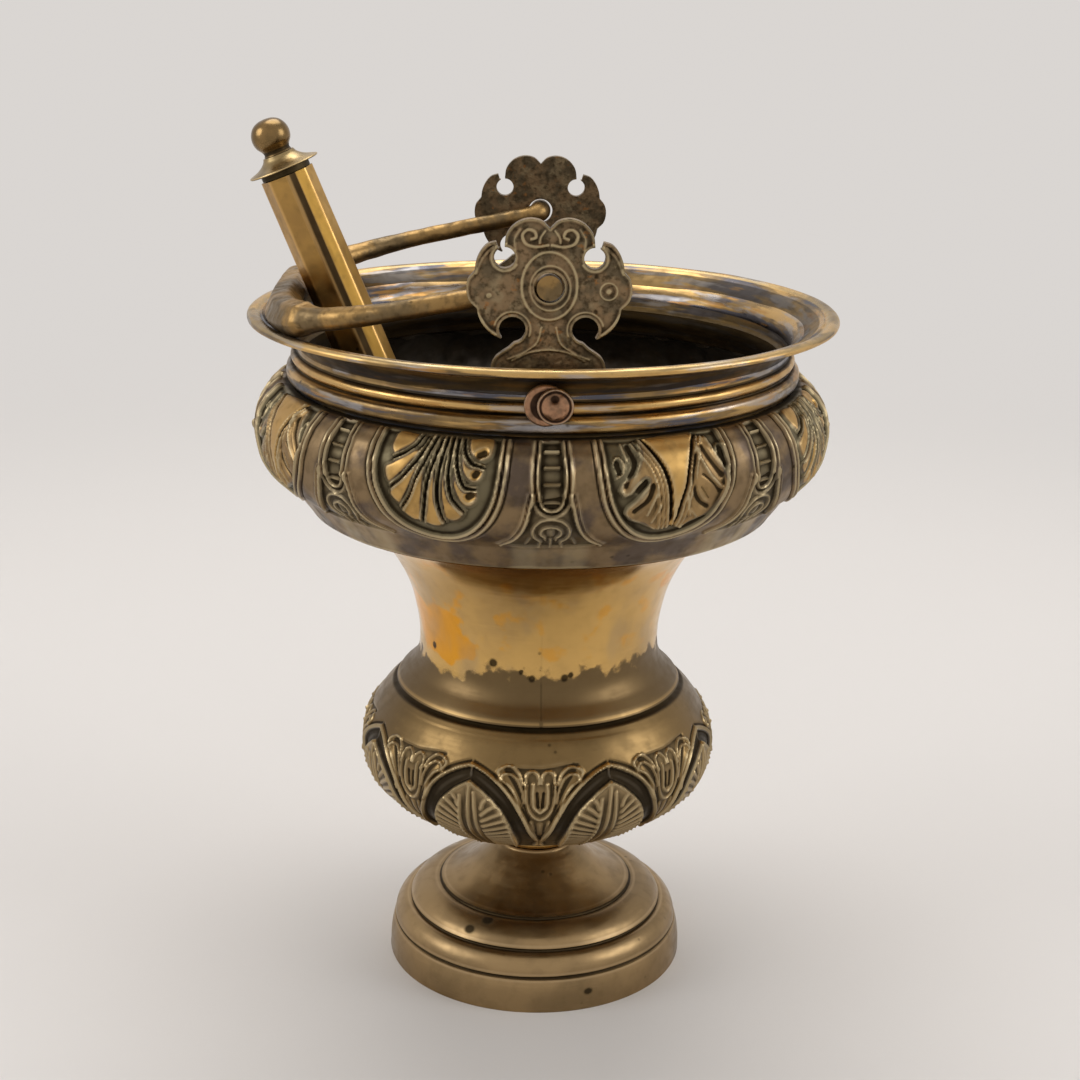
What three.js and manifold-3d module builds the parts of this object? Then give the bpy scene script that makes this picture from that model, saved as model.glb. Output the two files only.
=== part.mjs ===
// A holy water bucket of embossed sheet brass with its bail handle, and the aspergillum that stands in it.
// Lengths are in millimetres, +Z is up, and the origin is the centre of the foot on the floor.
// The bail's arms swing about an axis along Y through both ears, and it lies folded towards -X.

import * as THREE from "three";
import { mergeVertices } from "three/addons/utils/BufferGeometryUtils.js";
import Module from "manifold-3d";

// Sheet and clearances
const sheetWall = 1.6;
const seamGap = 0.3;
const boreGap = 0.3;
const overrun = 4;
const mergeDistance = 0.001;

// Foot
const footRadius = 59.3;
const footHeight = 48;
const footBandHeight = 13.6;
const footMiddleStepRadius = 51.2;
const footMiddleStepHeight = 22.2;
const footUpperStepRadius = 39.1;
const footUpperStepHeight = 29.8;
const footNeckRadius = 14.7;
const footNeckSeat = 3;

// Stem collar and the stud that ties foot and bowl together
const collarRadius = 17;
const collarHeight = 2.8;
const studRadius = 3;
const studHeadRadius = 6.5;
const studHeadHeight = 2;
const studEnd = 2.4;
const sealRadius = 8;
const sealThickness = 1;
const washerRadius = 8.2;
const washerThickness = 1.2;
const nutAcrossFlats = 10.5;
const nutHeight = 5;

// Lower bowl
const bowlRadius = 69.1;
const bowlHeight = 66;
const bowlFloorRadius = 16.6;
const bowlFloorWall = 2;
const shoulderRadius = 54.4;

// Waist
const waistRadius = 46.7;
const waistHeight = 72.1;

// Neck and rim
const rimRadius = 110;
const rimFlareWidth = 17.5;
const neckHeight = 25.3;

// Upper bulge
const bulgeInset = 2;
const bulgeHeight = 49.1;
const lipInset = 19.6;
const lipFlangeWidth = 5.4;
const lipOverhang = 1.8;

// Embossing of the bulge and the bowl
const reliefHeight = 1.1;
const bulgePanels = 8;
const bowlArches = 8;

// Ears and their rivets
const earHalfWidth = 27.2;
const earThickness = 3.5;
const earHoleRadius = 5;
const pivotAboveRim = 23.5;
const upperNotchRadius = 3.5;
const lowerNotchRadius = 4.3;
const rivetBelowPivot = 38.1;
const rivetShankRadius = 2;
const rivetHeadRadius = 5.9;
const rivetHeadHeight = 3.1;
const rivetTailRadius = 4;
const rivetTailHeight = 1.4;
const rivetOffset = 2.4;
const roveRadius = 7.1;
const roveThickness = 1.3;
const roveOffset = -3.2;
const roveSeatDepth = 0.7;

// Bail
const bailInset = 13.4;
const bailSideClearance = 0.7;
const bailSquareness = 3.3;
const bailPinClearance = 0.8;
const bailPinProud = 1.4;
const bailBendRadius = 5;
const bailArmRadius = 3.3;
const bailShoulderRadius = 4.4;
const bailGripRadius = 6.2;
const bailGripNearEnd = 62;
const bailGripFarEnd = 34;
const bailRestGap = 0.4;

// Aspergillum
const headRadius = 17;
const headWall = 1.4;
const headBandWidth = 1;
const headBandHeight = 2.4;
const headOffset = 3;
const headHoleRadius = 1.1;
const upperHoleRings = [[10, 60]];
const lowerHoleRings = [[1, 0], [5, 29], [10, 57]];
const spongeGap = 0.6;
const headNeckRadius = 6.4;
const headNeckHeight = 13;
const ferruleOverhang = 0.7;
const ferruleHeight = 8;
const spigotLength = 6;
const tubeAcrossFlats = 20.2;
const tubeTopAcrossFlats = 18.7;
const tubeWall = 1.5;
const tubeLength = 219.5;
const tubeFacetTurn = 14;
const tubeRestGap = 0.35;
const capCollarHeight = 2.2;
const capFlangeRadius = 13.2;
const capHeight = 5.2;
const capNeckRadius = 5.5;
const finialRadius = 7.1;
const finialHeight = 12.9;
const tieRodRadius = 2;
const tieRodGrip = 7;

// How finely round pieces are divided
const wideSides = 48;
const bodySides = 36;
const smallSides = 20;
const fineSides = 12;
const holeSides = 6;
const bailSides = 12;
const bailSteps = 56;
const spanSteps = 2;
const arcSteps = 5;
const poleAngle = 80;

// Outlines. Each pair is a share of a radius difference and a share of a height.
const footBandShares = [[1, 0], [0.992, 0.55], [0.966, 0.98]];
const footLowerStepShares = [[0, 0.02], [0.4, 0.56], [0.94, 0.86]];
const footMiddleShares = [[0.02, 0.1], [0.48, 0.58], [0.95, 0.84]];
const footDomeShares = [[0.02, 0], [0.38, 0.24], [0.78, 0.6], [0.98, 0.87], [0.96, 1]];
const bowlLowerShares = [[0, 0], [0.235, 0.085], [0.538, 0.188], [0.81, 0.325], [0.962, 0.48], [1, 0.66]];
const bowlUpperShares = [[1, 0.66], [0.9, 0.765], [0.6, 0.882], [0.3, 0.955], [0, 1]];
const waistSkirtShares = [[1, 0], [0.56, 0.08], [0.14, 0.155], [0, 0.25]];
const waistFlareShares = [[0, 0.25], [0.075, 0.52], [0.31, 0.775], [0.69, 0.955], [1, 1]];
const bulgeBandShares = [[0, 0], [0.163, 0.118], [0.347, 0.204]];
const bulgeLowerShares = [[0.347, 0.204], [0.81, 0.38], [1, 0.648]];
const bulgeUpperShares = [[1, 0.648], [0.8, 0.87], [0, 1]];
const neckTopShare = 0.1;
const neckBeadShares = [[neckTopShare, 0], [0.223, 0.142], [0.051, 0.253]];
const neckRingShares = [[0.051, 0.253], [0.131, 0.356], [0, 0.443]];
const neckCoveShares = [[0, 0.443], [0.14, 0.64], [0.74, 0.872]];
const rimLipShares = [[0.96, 0.905], [1, 0.957], [0.82, 1], [0.65, 0.93]];
const rivetHeadShares = [[1, 0], [0.93, 0.42], [0.72, 0.76], [0.38, 0.96], [0, 1]];
const rivetTailShares = [[0, 1], [0.7, 1], [1, 0.5], [1, 0]];
const ferruleShares = [[0.67, 0], [0.78, 0.2], [1, 0.45], [1, 0.65], [0.93, 0.8], [0.97, 1]];
const capSweepShares = [[1, 0.06], [0.84, 0.16], [0.4, 0.4], [0.16, 0.7], [0, 1]];

// The bulge's embossing, row by row from the neck down. A row has its share of the way down the swell, then the
// places of its points as shares of half a pitch, from the middle of a ladder to the middle of a panel: the
// ladder's slot and edge, the foot and crest of the panel's frame, the ground, and ribs with hollows between.
const bulgeRowShares = [
  [0.06, [0, 0.08, 0.125, 0.34, 0.4, 0.47, 0.79, 0.85, 0.905, 0.955, 1]],
  [0.13, [0, 0.08, 0.125, 0.34, 0.4, 0.47, 0.73, 0.8, 0.865, 0.935, 1]],
  [0.2, [0, 0.08, 0.125, 0.345, 0.405, 0.47, 0.67, 0.75, 0.835, 0.92, 1]],
  [0.36, [0, 0.08, 0.125, 0.355, 0.42, 0.48, 0.62, 0.705, 0.79, 0.895, 1]],
  [0.52, [0, 0.08, 0.125, 0.4, 0.46, 0.525, 0.645, 0.715, 0.79, 0.895, 1]],
  [0.66, [0, 0.1, 0.205, 0.485, 0.55, 0.61, 0.715, 0.775, 0.835, 0.92, 1]],
  [0.77, [0, 0.12, 0.265, 0.6, 0.665, 0.73, 0.81, 0.86, 0.9, 0.95, 1]],
  [0.91, [0, 0.2, 0.4, 0.72, 0.8, 0.86, 0.89, 0.92, 0.95, 0.975, 1]],
];

// How far the same points stand out, as shares of the relief's height, in the panels with a leaf
const bulgeLeafShares = [
  [-0.8, -0.8, 0.6, 0, 0.8, -0.7, 0.2, -0.6, 0.2, 0.8, 0.8],
  [-0.8, -0.8, 0.6, 0, 0.8, -0.8, 0.4, -0.6, 0.3, 0.8, 0.8],
  [-0.8, -0.8, 0.6, 0, 0.8, -0.8, 0.5, -0.4, 0.4, 0.8, 0.8],
  [-0.8, -0.8, 0.6, 0, 0.8, -0.8, 0.5, -0.5, 0.4, -0.2, 0.8],
  [-0.8, -0.8, 0.6, 0, 0.8, -0.8, 0.5, -0.4, 0.4, -0.2, 0.8],
  [0.6, -0.5, 0.7, 0, 0.8, -0.8, 0.5, -0.2, 0.4, -0.2, 0.8],
  [0.8, -0.4, 0.7, 0, 0.8, -0.8, -0.2, 0.2, 0.4, 0.4, 0.6],
  [0.5, -0.4, 0.7, 0, 0.8, 0.8, 0.8, 0.8, 0.8, 0.8, 0.8],
];

// The same in the panels with a shell
const bulgeShellShares = [
  [-0.8, -0.8, 0.6, 0, 0.8, -0.7, 0.6, -0.3, 0.6, -0.3, 0.6],
  [-0.8, -0.8, 0.6, 0, 0.8, -0.8, 0.7, -0.3, 0.7, -0.3, 0.7],
  [-0.8, -0.8, 0.6, 0, 0.8, -0.8, 0.8, -0.3, 0.8, -0.3, 0.8],
  [-0.8, -0.8, 0.6, 0, 0.8, -0.8, 0.8, -0.3, 0.8, -0.3, 0.8],
  [-0.8, -0.8, 0.6, 0, 0.8, -0.8, 0.8, -0.3, 0.8, -0.3, 0.8],
  [0.6, -0.5, 0.7, 0, 0.8, -0.8, 0.6, -0.4, 0.8, -0.3, 0.8],
  [0.8, -0.4, 0.7, 0, 0.8, -0.8, -0.8, -0.6, 0.4, 0.1, 0.7],
  [0.5, -0.4, 0.7, 0, 0.8, 0.8, 0.8, 0.8, 0.8, 0.8, 0.8],
];

// The bowl's embossing in the same way, from the shoulder down, and from the middle of a palmette to the middle
// of an arch: the palmette's hollow, crest and ground, the arch's crest, sunk band and inner crest, and a rib.
const bowlRowShares = [
  [0.147, [0, 0.12, 0.31, 0.54, 0.77, 0.87, 0.93, 0.97, 1]],
  [0.178, [0, 0.12, 0.4, 0.62, 0.9, 0.93, 0.955, 0.98, 1]],
  [0.222, [0, 0.12, 0.33, 0.48, 0.62, 0.755, 0.89, 0.95, 1]],
  [0.275, [0, 0.09, 0.2, 0.31, 0.425, 0.56, 0.765, 0.87, 1]],
  [0.353, [0, 0.045, 0.095, 0.175, 0.26, 0.395, 0.515, 0.735, 1]],
  [0.44, [0, 0.03, 0.06, 0.1, 0.143, 0.28, 0.41, 0.695, 1]],
  [0.53, [0, 0.015, 0.03, 0.045, 0.065, 0.215, 0.395, 0.69, 1]],
  [0.585, [0, 0.015, 0.03, 0.045, 0.065, 0.2, 0.398, 0.69, 1]],
  [0.675, [0, 0.05, 0.1, 0.15, 0.2, 0.27, 0.45, 0.7, 1]],
  [0.755, [0, 0.05, 0.1, 0.15, 0.2, 0.3, 0.47, 0.7, 1]],
];
const bowlReliefShares = [
  [0, 0, 0, 0, 0, 0, 0, 0, 0],
  [0.6, -0.2, 0.8, -0.2, 0.8, 0.8, 0.8, 0.8, 0.8],
  [0.8, -0.3, 0.8, -0.3, 0.8, -0.9, -0.6, -0.2, 0.3],
  [0.4, -0.3, 0.8, -0.2, 0.8, -0.9, 0.6, -0.2, 0.6],
  [0.2, -0.2, 0.7, -0.2, 0.8, -0.9, 0.6, -0.2, 0.6],
  [0.4, 0.1, 0.6, -0.1, 0.8, -0.9, 0.6, -0.2, 0.6],
  [0.6, 0.6, 0.7, 0.7, 0.8, -0.9, 0.6, -0.2, 0.6],
  [0.8, 0.8, 0.8, 0.8, 0.8, -0.9, 0.6, -0.2, 0.6],
  [-0.9, -0.9, -0.9, -0.9, -0.9, -0.9, 0.5, -0.2, 0.5],
  [0, 0, 0, 0, 0, 0, 0, 0, 0],
];

// One half of an ear, as lobes that meet at cusps, in shares of its half width, measured from the pivot.
const earLobeShares = [
  [[0, 0.705], [0.096, 0.795], [0.243, 0.825], [0.412, 0.766], [0.522, 0.63], [0.544, 0.485]],
  [[0.621, 0.47], [0.647, 0.55]],
  [[0.647, 0.55], [0.75, 0.515], [0.838, 0.415], [0.89, 0.283], [0.901, 0.191]],
  [[0.901, 0.191], [0.982, 0.088], [1, -0.037], [0.967, -0.162], [0.875, -0.257]],
  [[0.875, -0.257], [0.846, -0.368], [0.779, -0.485], [0.695, -0.566], [0.596, -0.621]],
  [[0.559, -0.629], [0.415, -0.675]],
  [[0.415, -0.675], [0.493, -0.746], [0.566, -0.794]],
  [[0.566, -0.794], [0.647, -0.86], [0.699, -0.971], [0.706, -1.103], [0.643, -1.287], [0.46, -1.489],
    [0.221, -1.618], [0, -1.654]],
];
const upperNotchPlaceShares = [0.54, 0.358];
const lowerNotchPlaceShares = [0.443, -0.518];

// Heights of the stacked pieces
const collarBase = footHeight + seamGap;
const bowlBase = collarBase + collarHeight + seamGap;
const bowlFloor = bowlBase + bowlFloorWall;
const waistBase = bowlBase + bowlHeight + seamGap;
const bulgeBase = waistBase + waistHeight + seamGap;
const neckBase = bulgeBase + bulgeHeight + seamGap;
const rimTop = neckBase + neckHeight;
const pivotHeight = rimTop + pivotAboveRim;
const rivetHeight = pivotHeight - rivetBelowPivot;

// Widths that follow from the neighbours
const neckRadius = rimRadius - rimFlareWidth;
const bulgeRadius = rimRadius - bulgeInset;
const lipRadius = bulgeRadius - lipInset;
const bailReach = rimRadius - bailInset;
const waistFlareRadius = lipRadius - lipOverhang;
const neckBottomRadius = neckRadius + (rimRadius - neckRadius) * neckTopShare;
const earFace = neckRadius - sheetWall - seamGap;
const earInside = earFace - earThickness;
const studBore = studRadius + boreGap;
const rivetBore = rivetShankRadius + boreGap;
const bailHalfWidth = earInside - bailSideClearance - bailArmRadius;
const bailPinRadius = earHoleRadius - bailPinClearance;
const headBandRadius = headRadius + headBandWidth;
const octagonCorner = 1 / Math.cos(Math.PI / 8);
const ferruleRadius = tubeAcrossFlats / 2 * octagonCorner + ferruleOverhang;

const degree = Math.PI / 180;
const foldStep = degree / 20;

const wasm = await Module();
wasm.setup();

const agedBrass = new THREE.MeshStandardMaterial({ color: 0x9a7a42, roughness: 0.42, metalness: 1 });
const brightBrass = new THREE.MeshStandardMaterial({ color: 0xb8923f, roughness: 0.28, metalness: 1 });
const darkBrass = new THREE.MeshStandardMaterial({ color: 0x6f5a38, roughness: 0.5, metalness: 1 });
const copper = new THREE.MeshStandardMaterial({ color: 0xb07458, roughness: 0.4, metalness: 1 });
const lead = new THREE.MeshStandardMaterial({ color: 0x6c6c70, roughness: 0.7, metalness: 0.6 });
const steel = new THREE.MeshStandardMaterial({ color: 0x7c7a78, roughness: 0.5, metalness: 1 });
const spongeYellow = new THREE.MeshStandardMaterial({ color: 0xcbb06a, roughness: 1, metalness: 0 });

// The solid of a closed geometry, for joining and cutting.
function solidOf(geometry) {
  const bare = geometry.index ? geometry.toNonIndexed() : geometry.clone();
  bare.deleteAttribute("normal");
  bare.deleteAttribute("uv");
  const merged = mergeVertices(bare, mergeDistance);
  return new wasm.Manifold(new wasm.Mesh({
    numProp: 3,
    vertProperties: merged.attributes.position.array,
    triVerts: new Uint32Array(merged.index.array),
  }));
}

// The geometry of a solid, with flat faces.
function geometryOf(solid) {
  const mesh = solid.getMesh();
  const indexed = new THREE.BufferGeometry();
  indexed.setAttribute("position", new THREE.BufferAttribute(new Float32Array(mesh.vertProperties), 3));
  indexed.setIndex(new THREE.BufferAttribute(new Uint32Array(mesh.triVerts), 1));
  const flat = indexed.toNonIndexed();
  flat.computeVertexNormals();
  return flat;
}

function piece(name, geometry, material) {
  const mesh = new THREE.Mesh(geometry, material.clone());
  mesh.name = name;
  return mesh;
}

// Points [radius, height] placed between two radii and two heights by a table of shares.
function placed(shares, fromRadius, toRadius, fromHeight, height) {
  return shares.map(([across, up]) => new THREE.Vector2(
    fromRadius + (toRadius - fromRadius) * across,
    fromHeight + height * up,
  ));
}

// A smooth run through the points, divided a few times between each two of them.
function smooth(points) {
  return new THREE.SplineCurve(points).getPoints((points.length - 1) * spanSteps);
}

// Runs joined end to end, without the double point where two of them meet.
function joined(...runs) {
  const points = [];
  for (const point of runs.flat()) {
    const last = points[points.length - 1];
    if (!last || last.distanceTo(point) > mergeDistance) points.push(point);
  }
  return points;
}

// The inner face of a sheet: every second point of its outline, moved sideways by the wall.
function insideOf(outer, wall) {
  const outline = outer.filter((point, index) => index % 2 === 0 || index === outer.length - 1);
  return outline.map((point, index) => {
    const before = outline[Math.max(index - 1, 0)];
    const after = outline[Math.min(index + 1, outline.length - 1)];
    const arriving = index > 0 ? point.clone().sub(before).normalize() : after.clone().sub(point).normalize();
    const leaving = index < outline.length - 1 ? after.clone().sub(point).normalize() : arriving.clone();
    const along = arriving.clone().add(leaving).normalize();
    const stretch = Math.max(along.dot(arriving), Math.SQRT1_2);
    return new THREE.Vector2(point.x - along.y * wall / stretch, point.y + along.x * wall / stretch);
  });
}

// A turned solid about +Z. The outline starts and ends on the axis, or closes on itself.
function turned(outline, sides) {
  const onAxis = outline[0].x === 0 && outline[outline.length - 1].x === 0;
  const points = onAxis ? [...outline] : [...outline, outline[0].clone()];
  let area = 0;
  outline.forEach((point, index) => {
    area += point.cross(outline[(index + 1) % outline.length]);
  });
  if (area < 0) points.reverse();
  return new THREE.LatheGeometry(points, sides).rotateX(Math.PI / 2);
}

// Points from bare [radius, height] pairs.
function corners(pairs) {
  return pairs.map(([radius, height]) => new THREE.Vector2(radius, height));
}

// A straight round bar along +Z.
function bar(radius, bottom, top, sides) {
  return turned(corners([[0, bottom], [radius, bottom], [radius, top], [0, top]]), sides);
}

// A turned ring with square edges.
function ring(bore, radius, bottom, top, sides) {
  return turned(corners([[bore, bottom], [radius, bottom], [radius, top], [bore, top]]), sides);
}

// A ring of points about +Z, each with its angle from -Y, its radius and its height.
function plainRing(point, sides) {
  return Array.from({ length: sides }, (_, index) => (
    { angle: index / sides * Math.PI * 2, radius: point.x, height: point.y }));
}

// The ring for one row of an embossing, whose points stand out along the normal of a line that runs down.
// Each repeat is half a pitch and its mirror image, and the motifs take turns.
function embossedRing(line, [down, places], motifs, repeats) {
  const centre = line.getPointAt(down);
  const tangent = line.getTangentAt(down);
  const halfPitch = Math.PI / repeats;
  const ring = [];
  for (let repeat = 0; repeat < repeats; repeat += 1) {
    const heights = motifs[repeat % motifs.length];
    const there = places.map((across, index) => [across, heights[index] * reliefHeight]);
    const back = there.slice(1, -1).reverse().map(([across, out]) => [2 - across, out]);
    for (const [across, out] of [...there, ...back]) {
      ring.push({
        angle: (repeat * 2 + across) * halfPitch,
        radius: centre.x - tangent.y * out,
        height: centre.y + tangent.x * out,
      });
    }
  }
  return ring;
}

// A closed surface through rings that are listed up the outside and down the inside. Two rings with as many
// points are joined point to point, others by going on along the ring whose next point comes first.
function ringed(rings) {
  const positions = [];
  const angleOf = (ring, step) => (
    ring[step % ring.length].angle + Math.floor(step / ring.length) * Math.PI * 2);
  const pointOf = (ring, step) => {
    const { angle, radius, height } = ring[step % ring.length];
    return [radius * Math.sin(angle), -radius * Math.cos(angle), height];
  };
  rings.forEach((lower, index) => {
    const upper = rings[(index + 1) % rings.length];
    const alike = lower.length === upper.length;
    let low = 0;
    let high = 0;
    while (low < lower.length || high < upper.length) {
      const onLower = alike ? low <= high : angleOf(lower, low + 1) <= angleOf(upper, high + 1);
      const next = onLower ? pointOf(lower, low + 1) : pointOf(upper, high + 1);
      positions.push(...pointOf(lower, low), ...next, ...pointOf(upper, high));
      if (onLower) low += 1;
      else high += 1;
    }
  });
  const surface = new THREE.BufferGeometry();
  surface.setAttribute("position", new THREE.Float32BufferAttribute(positions, 3));
  surface.computeVertexNormals();
  return surface;
}

// The stepped foot, spun from sheet, with a thick seat at its neck for the stud.
function footOutline() {
  const bandTop = footRadius * footBandShares.at(-1)[0];
  const band = placed(footBandShares, 0, footRadius, 0, footBandHeight);
  const lower = placed(footLowerStepShares, bandTop - sheetWall / 2, footMiddleStepRadius,
    footBandHeight, footMiddleStepHeight - footBandHeight);
  const middle = placed(footMiddleShares, footMiddleStepRadius, footUpperStepRadius,
    footMiddleStepHeight, footUpperStepHeight - footMiddleStepHeight);
  const dome = placed(footDomeShares, footUpperStepRadius, footNeckRadius,
    footUpperStepHeight, footHeight - footUpperStepHeight);
  return joined(smooth(band), smooth(lower), smooth(middle), smooth(dome));
}

function makeFoot() {
  const outer = footOutline();
  const seatHeight = footHeight - footNeckSeat;
  const inner = insideOf(outer, sheetWall).filter((point) => point.y < seatHeight && point.x > sealRadius);
  inner[0].y = 0;
  const seatRadius = Math.max(washerRadius + boreGap, inner.at(-1).x - footNeckSeat);
  const outline = [
    ...outer,
    ...corners([[studBore, footHeight], [studBore, seatHeight], [seatRadius, seatHeight]]),
    ...inner.reverse(),
  ];
  return piece("foot_shell", turned(outline, bodySides), agedBrass);
}

// A plain ring with a round outer edge.
function makeCollar() {
  const half = collarHeight / 2;
  const bead = new THREE.EllipseCurve(collarRadius - half, collarBase + half, half, half,
    -Math.PI / 2, Math.PI / 2);
  const outline = joined(
    corners([[studBore, collarBase]]),
    bead.getPoints(spanSteps * 2),
    corners([[studBore, collarBase + collarHeight]]),
  );
  return piece("stem_collar", turned(outline, bodySides), brightBrass);
}

// Heights of the stud's stack, from its head in the bowl down to the nut under the foot's neck
const sealBase = bowlFloor + seamGap;
const studHeadBase = sealBase + sealThickness + seamGap;
const studHeadTop = studHeadBase + studHeadHeight;
const washerTop = footHeight - footNeckSeat - seamGap;
const nutTop = washerTop - washerThickness - seamGap;
const nutBottom = nutTop - nutHeight;

function makeStudSet() {
  const chamfer = studHeadHeight / 2;
  const stud = turned(corners([
    [0, nutBottom - studEnd], [studRadius, nutBottom - studEnd], [studRadius, studHeadBase],
    [studHeadRadius, studHeadBase], [studHeadRadius, studHeadTop - chamfer],
    [studHeadRadius - chamfer, studHeadTop], [0, studHeadTop],
  ]), smallSides);
  const seal = ring(studBore, sealRadius, sealBase, sealBase + sealThickness, smallSides);
  const washer = ring(studBore, washerRadius, washerTop - washerThickness, washerTop, smallSides);
  const nutRadius = nutAcrossFlats / 2 / Math.cos(Math.PI / 6);
  const nutBody = new THREE.CylinderGeometry(nutRadius, nutRadius, nutHeight, 6).rotateX(Math.PI / 2)
    .translate(0, 0, nutBottom + nutHeight / 2);
  const nutBore = bar(studBore, nutBottom - overrun, nutTop + overrun, smallSides);
  return [
    piece("foot_stud", stud, steel),
    piece("stud_seal", seal, lead),
    piece("foot_washer", washer, darkBrass),
    piece("foot_nut", geometryOf(solidOf(nutBody).subtract(solidOf(nutBore))), darkBrass),
  ];
}

// The rounded lower bowl, open at its shoulder, with a floor that the stud passes.
function makeBowl() {
  const lower = placed(bowlLowerShares, bowlFloorRadius, bowlRadius, bowlBase, bowlHeight);
  const upper = placed(bowlUpperShares, shoulderRadius, bowlRadius, bowlBase, bowlHeight);
  const outer = joined(smooth(lower), smooth(upper));
  const inner = insideOf(outer, sheetWall);
  inner[inner.length - 1].y = bowlBase + bowlHeight;
  const line = new THREE.SplineCurve([...outer].reverse());
  const embossed = bowlRowShares.map((row, index) => (
    embossedRing(line, row, [bowlReliefShares[index]], bowlArches)));
  const reliefTop = embossed[0][0].height + sheetWall;
  const reliefBottom = embossed.at(-1)[0].height - sheetWall;
  const plain = (points) => points.map((point) => plainRing(point, bodySides));
  return piece("lower_bowl", ringed([
    ...plain(corners([[studBore, bowlBase]])),
    ...plain(outer.filter((point) => point.y < reliefBottom)),
    ...embossed.reverse(),
    ...plain(outer.filter((point) => point.y > reliefTop)),
    ...plain(inner.filter((point) => point.y > bowlFloor).reverse()),
    ...plain(corners([[bowlFloorRadius, bowlFloor], [studBore, bowlFloor]])),
  ]), agedBrass);
}

// The waist: a skirt on the bowl's shoulder, a narrow throat, and a trumpet flare up to the bulge's flange.
function makeWaist() {
  const skirt = placed(waistSkirtShares, waistRadius, shoulderRadius, waistBase, waistHeight);
  const flare = placed(waistFlareShares, waistRadius, waistFlareRadius, waistBase, waistHeight - sheetWall);
  const outer = joined(smooth(skirt), smooth(flare));
  const inner = insideOf(outer, sheetWall);
  inner[0].y = waistBase;
  inner[inner.length - 1] = new THREE.Vector2(waistFlareRadius, waistBase + waistHeight);
  return piece("waist", turned([...outer, ...inner.reverse()], bodySides), brightBrass);
}

// The wide upper bulge with its plain band, and the flange turned in at its lip.
function makeBulge() {
  const band = placed(bulgeBandShares, lipRadius, bulgeRadius, bulgeBase, bulgeHeight);
  const lower = placed(bulgeLowerShares, lipRadius, bulgeRadius, bulgeBase, bulgeHeight);
  const upper = placed(bulgeUpperShares, neckBottomRadius, bulgeRadius, bulgeBase, bulgeHeight);
  const swell = joined(smooth(lower), smooth(upper));
  const outer = joined(smooth(band), swell);
  const inner = insideOf(outer, sheetWall).filter((point) => point.y > bulgeBase + sheetWall);
  inner[inner.length - 1] = new THREE.Vector2(neckBottomRadius - sheetWall, bulgeBase + bulgeHeight);
  const flange = lipRadius - lipFlangeWidth;
  const line = new THREE.SplineCurve([...swell].reverse());
  const embossed = bulgeRowShares.map((row, index) => (
    embossedRing(line, row, [bulgeLeafShares[index], bulgeShellShares[index]], bulgePanels)));
  const plain = (points) => points.map((point) => plainRing(point, wideSides));
  return piece("upper_bulge", ringed([
    ...plain(corners([[flange, bulgeBase]])),
    ...plain(smooth(band)),
    ...embossed.reverse(),
    ...plain([swell.at(-1)]),
    ...plain(inner.reverse()),
    ...plain(corners([[flange, bulgeBase + sheetWall]])),
  ]), agedBrass);
}

// The outer runs of the neck, from its seam up to the underside of the rim.
function neckOutline() {
  const runs = [neckBeadShares, neckRingShares, neckCoveShares];
  return joined(...runs.map((shares) => smooth(placed(shares, neckRadius, rimRadius, neckBase, neckHeight))));
}

function neckInside(outer, gap) {
  const inner = insideOf(outer, sheetWall + gap);
  inner[0].y = neckBase;
  return inner;
}

// The rim's rolled lip, from its underside round to the flare inside.
function rimOutline() {
  return smooth(placed(rimLipShares, neckRadius, rimRadius, neckBase, neckHeight));
}

// The neck with its two beads and the flared rim with a rolled lip, bored for the two rivets.
function makeNeck() {
  const outer = neckOutline();
  const outline = [...outer, ...rimOutline(), ...neckInside(outer, 0).slice(0, -1).reverse()];
  const reach = rimRadius + overrun;
  let neck = solidOf(turned(outline, wideSides));
  for (const side of [1, -1]) {
    const bore = bar(rivetBore, earInside, reach, fineSides)
      .rotateX(side * Math.PI / 2).translate(side * rivetOffset, 0, rivetHeight);
    const seat = bar(roveRadius + boreGap, roveFace - seamGap, reach, smallSides)
      .rotateX(side * Math.PI / 2).translate(side * (rivetOffset + roveOffset), 0, rivetHeight);
    neck = neck.subtract(solidOf(bore)).subtract(solidOf(seat));
  }
  return piece("neck_rim", geometryOf(neck), agedBrass);
}

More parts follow.
